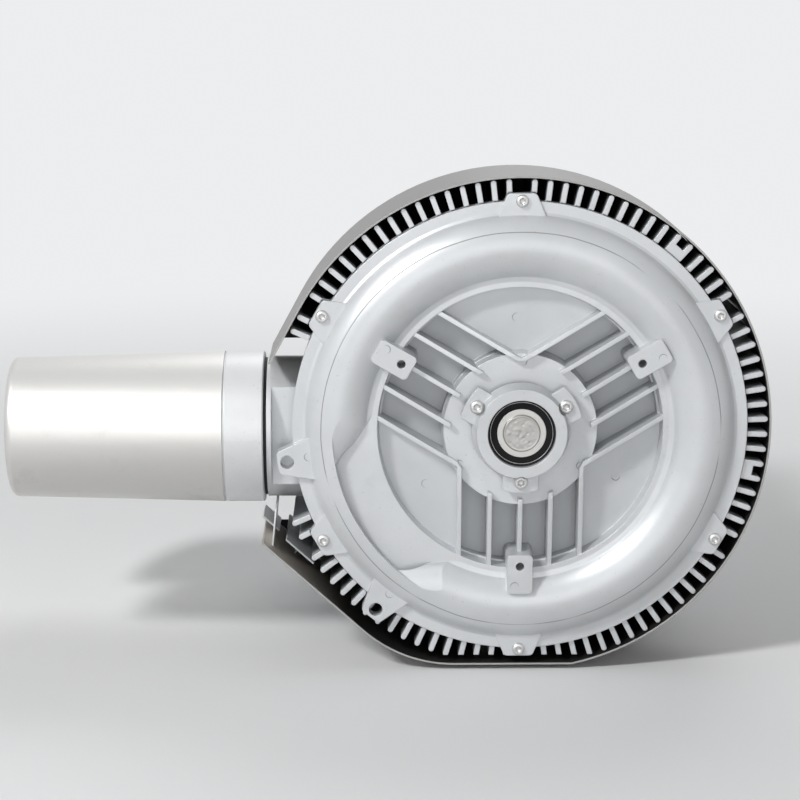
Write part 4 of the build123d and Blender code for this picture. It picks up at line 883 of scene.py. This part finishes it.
class BLOWER_OT_bearing(bpy.types.Operator):
    """Finish the bearings and give the shaft its rough dished end"""

    bl_idname = "blower.bearing"
    bl_label = "Bearings and shaft"

    def execute(self, context):
        finishes = context.scene.blower_finishes
        steel = tuple(finishes.steel)
        inner = ["front_bearing_inner_ring", "rear_bearing_inner_ring"]
        outer = ["front_bearing_outer_ring", "rear_bearing_outer_ring"]
        wear(inner, metal_finish("inner_ring_ground", shade(steel, 1.05), 0.36, (1, 1, 1), 0.00001))
        # The outer rings are near black: painted shade where they sit in shadow.
        wear(outer, metal_finish("outer_ring_shaded", OUTER_RING_SHADE, 0.30, (1, 1, 1), 0.00001))
        balls = ["front_bearing_balls", "rear_bearing_balls"]
        wear(balls, metal_finish("ball_steel", shade(steel, 1.2), 0.12))
        cages = ["front_bearing_cage", "rear_bearing_cage"]
        wear(cages, metal_finish("cage_steel_pressed", steel, 0.35))
        seals = ["front_bearing_seals", "rear_bearing_seals", "front_shaft_seal", "rear_shaft_seal"]
        rubber = tuple(finishes.rubber)
        wear(seals, plain_finish("seal_rubber_black", rubber, 0.55, 500.0, 0.00005, 0.0, 0.16))
        turned = ["rotor_shaft", "impeller_key", "fan_key", "impeller_spacer", "wave_spring"]
        wear(turned, metal_finish("shaft_steel_turned", steel, 0.30, (0.2, 3, 0.2), 0.00004))
        coarse = (0.22, 0.22, 0.22)
        self.shaft_end(metal_finish("shaft_end_rough", shade(steel, 0.86), 0.42, coarse, 0.0006, 0.30))
        self.seal_lip(metal_finish("lip_steel", shade(steel, 1.1), 0.3))
        return {"FINISHED"}

    def shaft_end(self, finish):
        """A rough cap over the shaft's end, dished and hammered inside a rounded rim."""
        face = box("rotor_shaft")[0].y
        dents = self.dents()
        circle = self.round(ROUND_POINTS)
        rings = []
        for reach, out in SHAFT_RIM:
            rings.append([(reach * MM * c, face - out * MM, reach * MM * s) for c, s in circle])
        lowest, highest = DISH_ROUGH
        for step in range(DISH_RINGS):
            reach = DISH_RADIUS * (1 - step / DISH_RINGS)
            ring = []
            for c, s in circle:
                across, up = reach * c, reach * s
                rough = 0.0
                for x, z, size, height in dents:
                    rough += height * math.exp(-((across - x) ** 2 + (up - z) ** 2) / size**2)
                out = DISH_OUT + max(lowest, min(highest, rough))
                ring.append((across * MM, face - out * MM, up * MM))
            rings.append(ring)
        new_piece("shaft_end_cap", rings_mesh("shaft_end_cap", rings), finish, "rotor")

    def dents(self):
        """Dents spread by chance over the dished end: place, size and height."""
        chance = random.Random(DENT_SEED)
        dents = []
        for _ in range(DENT_COUNT):
            reach = DENT_REACH * math.sqrt(chance.random())
            turn = chance.uniform(0, 2 * math.pi)
            size, height = chance.uniform(*DENT_SIZE), chance.uniform(*DENT_HEIGHT)
            dents.append((reach * math.cos(turn), reach * math.sin(turn), size, height))
        return dents

    def seal_lip(self, finish):
        """A thin bright ring where the seal sits in the outer ring."""
        seat = box("front_bearing_seals")[0].y
        work = bmesh.new()
        loops = []
        for c, s in self.round(ROUND_POINTS):
            section = [(across * MM * c, seat - out * MM, across * MM * s) for across, out in LIP_SECTION]
            loops.append([work.verts.new(point) for point in section])
        for index, loop in enumerate(loops):
            after = loops[(index + 1) % len(loops)]
            for step in range(len(loop)):
                other = (step + 1) % len(loop)
                work.faces.new((loop[step], loop[other], after[other], after[step]))
        new_piece("seal_lip", keep_mesh(work, "seal_lip", smooth=False), finish)

    def round(self, count):
        """Cosines and sines round a circle."""
        turns = [2 * math.pi * step / count for step in range(count)]
        return [(math.cos(turn), math.sin(turn)) for turn in turns]


class BLOWER_OT_shroud(bpy.types.Operator):
    """Paint the cooling shroud, its rear panel, the baffle and the bracket"""

    bl_idname = "blower.shroud"
    bl_label = "Cooling shroud"

    def execute(self, context):
        finishes = context.scene.blower_finishes
        front = box("shroud_wrap")[0].y
        outside = tuple(finishes.shroud)
        inside = tuple(finishes.shroud_inside_shade)
        wear(["shroud_wrap"], sheet_finish("shroud_paint", outside, inside, front, bare=BARE_SHEET))
        # The rear panel is near black: painted shade, darker still than the shroud's inside.
        wear(["shroud_rear_panel"], sheet_finish("panel_shade", shade(inside, 0.7), gloss=0.6))
        wear(["shroud_baffle"], sheet_finish("baffle_paint", tuple(finishes.baffle), gloss=0.4))
        wear(["shroud_bracket"], sheet_finish("bracket_paint", BRACKET_PAINT, gloss=0.32))
        return {"FINISHED"}


class BLOWER_OT_silencers(bpy.types.Operator):
    """Finish both silencers and their gaskets"""

    bl_idname = "blower.silencers"
    bl_label = "Silencers"

    def execute(self, context):
        finishes = context.scene.blower_finishes
        tone = tuple(finishes.silencer)
        can = metal_finish("silencer_brushed", tone, 0.36, (0.05, 1.6, 1.6), 0.00002, 0.05, 0.06)
        spigot_end = box("inlet_silencer_collar")[0].x + SPIGOT_LENGTH

        # The spigot inside the shell gets painted shade, a cool dark colour.
        def spigot_shade(x, y, z):
            return 1.0 - x.fade(spigot_end - 0.0003, spigot_end - 0.0001)

        collar = casting_finish("collar_paint", tuple(finishes.collar), None, spigot_shade)
        tube = metal_finish("tube_plated", TUBE_METAL, 0.34)
        foam = plain_finish("foam_grey", GREY_FOAM, 0.9, 220.0, 0.0008)
        rubber = plain_finish("gasket_rubber", tuple(finishes.rubber), 0.6)
        for port in ("inlet", "outlet"):
            wear([port + "_silencer_shell"], can)
            wear([port + "_silencer_collar"], collar)
            wear([port + "_silencer_tube"], tube)
            wear([port + "_silencer_foam"], foam)
            wear([port + "_port_gasket"], rubber)
        return {"FINISHED"}


class BLOWER_OT_motor(bpy.types.Operator):
    """Finish the motor's inner pieces, the fan, the cowl and the cable gland"""

    bl_idname = "blower.motor"
    bl_label = "Motor"

    def execute(self, context):
        finishes = context.scene.blower_finishes
        plastic = tuple(finishes.plastic)
        wear(["rotor_core", "stator_core"], layered_finish("core_layers", CORE_SHEET, 0.0012))
        wear(["stator_windings"], layered_finish("winding_turns", tuple(finishes.copper), 0.0022, 0.35, 0.6))
        wear(["fan_cowl"], sheet_finish("cowl_paint", shade(tuple(finishes.casting), 0.92)))
        wear(["cooling_fan"], plain_finish("fan_plastic_black", plastic, 0.5, 700.0))
        gland = ["cable_gland_body", "cable_gland_nut", "terminal_board"]
        wear(gland, plain_finish("gland_plastic_black", plastic, 0.45, 900.0, 0.00004))
        soft = ["cable_gland_seal", "terminal_lid_seal", "cover_seal"]
        wear(soft, plain_finish("small_seal_rubber", tuple(finishes.rubber), 0.65))
        return {"FINISHED"}


class BLOWER_OT_base(bpy.types.Operator):
    """Paint the base plate and the motor support"""

    bl_idname = "blower.base"
    bl_label = "Base"

    def execute(self, context):
        tone = tuple(context.scene.blower_finishes.base)
        wear(["base_plate", "motor_support"], plain_finish("base_black", tone, 0.45, 400.0, 0.00008, 0.1))
        return {"FINISHED"}


class BLOWER_OT_studio(bpy.types.Operator):
    """Floor, backdrop, lamps and camera"""

    bl_idname = "blower.studio"
    bl_label = "Studio"

    def execute(self, context):
        settings = context.scene.blower_studio
        self.backdrop(settings)
        self.lamps(context, settings)
        self.camera(context, settings)
        context.scene.view_settings.view_transform = "Standard"
        return {"FINISHED"}

    def backdrop(self, settings):
        """A floor that sweeps up behind the blower."""
        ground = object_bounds()[0][2]
        profile = [(FLOOR_FRONT, 0.0), (SWEEP_START, 0.0)]
        for step in range(1, SWEEP_STEPS + 1):
            turn = math.pi / 2 * step / SWEEP_STEPS
            across, up = SWEEP_RADIUS * math.sin(turn), SWEEP_RADIUS * (1 - math.cos(turn))
            profile.append((SWEEP_START + across, up))
        profile.append((SWEEP_START + SWEEP_RADIUS, WALL_TOP))
        work = bmesh.new()
        rows = []
        for depth, height in profile:
            ends = (-FLOOR_SIDE, FLOOR_SIDE)
            rows.append([work.verts.new((side, depth, ground + height)) for side in ends])
        for first, second in zip(rows, rows[1:]):
            work.faces.new((first[0], first[1], second[1], second[0]))
        mesh = keep_mesh(work, "studio_floor", closed=False)
        s = Shading("floor_paper")
        tone = tuple(settings.floor)
        s.set(base_color=s.mix(s.noise(3.0), shade(tone, 0.99), tone), roughness=0.8)
        s.surface.inputs["Specular IOR Level"].default_value = 0.2
        x, y, z = s.axes()
        away = (x * x + y * y + z * z).root().fade(*FLOOR_GLOW)
        rays = s.node("ShaderNodeLightPath", {}, {})
        seen = 1.0 - (1.0 - rays.out("Is Camera Ray")) * (1.0 - rays.out("Is Glossy Ray"))
        shown = 1.0 - (1.0 - seen) * (1.0 - rays.out("Is Transmission Ray"))
        glow = s.node("ShaderNodeEmission", {}, {"Color": settings.backdrop[:] + (1.0,)})
        paper = Socket(s, s.surface.outputs[0])
        mixed = s.node("ShaderNodeMixShader", {}, {0: shown * away, 1: paper, 2: glow.out()})
        s.tree.links.new(mixed.node.outputs[0], s.output.inputs["Surface"])
        floor = bpy.data.objects.new("studio_floor", mesh)
        bpy.context.scene.collection.objects.link(floor)
        mesh.materials.append(s.material)
        floor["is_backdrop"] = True

    def lamps(self, context, settings):
        """A key from the upper left, a wide lamp in front and a rim from behind."""
        for name, watts in (("key", settings.key), ("front", settings.fill), ("rim", settings.rim)):
            place, size = LAMP_SPOTS[name]
            lamp = bpy.data.lights.new(name + "_lamp", "AREA")
            lamp.energy = watts
            lamp.size = size
            holder = bpy.data.objects.new(name + "_lamp", lamp)
            holder.location = place
            aim = LAMP_AIM - Vector(place)
            holder.rotation_euler = aim.to_track_quat("-Z", "Y").to_euler()
            context.scene.collection.objects.link(holder)
        world = bpy.data.worlds.new("studio_air")
        world.use_nodes = True
        tree = world.node_tree
        tree.nodes.clear()
        rays = tree_node(tree, "ShaderNodeLightPath", {}, {})
        far = tree_node(tree, "ShaderNodeBackground", {}, {"Color": settings.backdrop[:] + (1.0,)})
        white = {"Color": (1.0, 1.0, 1.0, 1.0), "Strength": settings.ambient}
        lit = tree_node(tree, "ShaderNodeBackground", {}, white)
        seen = rays.outputs["Is Camera Ray"]
        for kind in ("Is Glossy Ray", "Is Transmission Ray"):
            either = {0: seen, 1: rays.outputs[kind]}
            seen = tree_node(tree, "ShaderNodeMath", {"operation": "MAXIMUM"}, either).outputs[0]
        shown = {0: seen, 1: lit.outputs[0], 2: far.outputs[0]}
        choose = tree_node(tree, "ShaderNodeMixShader", {}, shown)
        tree_node(tree, "ShaderNodeOutputWorld", {}, {0: choose.outputs[0]})
        context.scene.world = world

    def camera(self, context, settings):
        """A long lens that looks a little down on the cover."""
        pitch, yaw = settings.pitch, settings.yaw
        level = math.cos(pitch)
        forward = Vector((math.sin(yaw) * level, math.cos(yaw) * level, -math.sin(pitch)))
        right = Vector((math.cos(yaw), -math.sin(yaw), 0.0))
        up = right.cross(forward)
        place = -settings.right * right + settings.below * up - settings.away * forward
        lens = bpy.data.cameras.new("front_camera")
        lens.lens = settings.focal
        lens.sensor_width = SENSOR_WIDTH
        lens.clip_end = FAR_CLIP
        holder = bpy.data.objects.new("front_camera", lens)
        turn = Matrix((right, up, -forward)).transposed().to_4x4()
        holder.matrix_world = Matrix.Translation(place) @ turn
        context.scene.collection.objects.link(holder)
        context.scene.camera = holder


class BLOWER_PT_panel(bpy.types.Panel):
    """Blower pieces in the sidebar"""

    bl_label = "Side Channel Blower"
    bl_idname = "BLOWER_PT_panel"
    bl_space_type = "VIEW_3D"
    bl_region_type = "UI"
    bl_category = "Blower"

    def draw(self, context):
        for operator in OPERATORS:
            self.layout.operator(operator.bl_idname)
        for title, kind in SETTINGS:
            column = self.layout.box().column()
            for name in kind.__annotations__:
                column.prop(getattr(context.scene, title), name)


SETTINGS = (
    ("blower_fasteners", FastenerSizes),
    ("blower_marks", MarkSizes),
    ("blower_finishes", Finishes),
    ("blower_studio", StudioSettings),
)
OPERATORS = (
    BLOWER_OT_castings,
    BLOWER_OT_bulge,
    BLOWER_OT_fasteners,
    BLOWER_OT_marks,
    BLOWER_OT_bearing,
    BLOWER_OT_shroud,
    BLOWER_OT_silencers,
    BLOWER_OT_motor,
    BLOWER_OT_base,
    BLOWER_OT_studio,
)


def register():
    """Add the settings, operators and panel to Blender."""
    for name, group in SETTINGS:
        bpy.utils.register_class(group)
        setattr(bpy.types.Scene, name, bpy.props.PointerProperty(type=group))
    for operator in OPERATORS:
        bpy.utils.register_class(operator)
    bpy.utils.register_class(BLOWER_PT_panel)


def unregister():
    """Take them out again."""
    bpy.utils.unregister_class(BLOWER_PT_panel)
    for operator in reversed(OPERATORS):
        bpy.utils.unregister_class(operator)
    for name, group in reversed(SETTINGS):
        delattr(bpy.types.Scene, name)
        bpy.utils.unregister_class(group)


def main():
    """Register and build every piece."""
    register()
    bpy.ops.blower.castings()
    bpy.ops.blower.bulge()
    bpy.ops.blower.fasteners()
    bpy.ops.blower.marks()
    bpy.ops.blower.bearing()
    bpy.ops.blower.shroud()
    bpy.ops.blower.silencers()
    bpy.ops.blower.motor()
    bpy.ops.blower.base()
    bpy.ops.blower.studio()


if __name__ == "__main__":
    main()
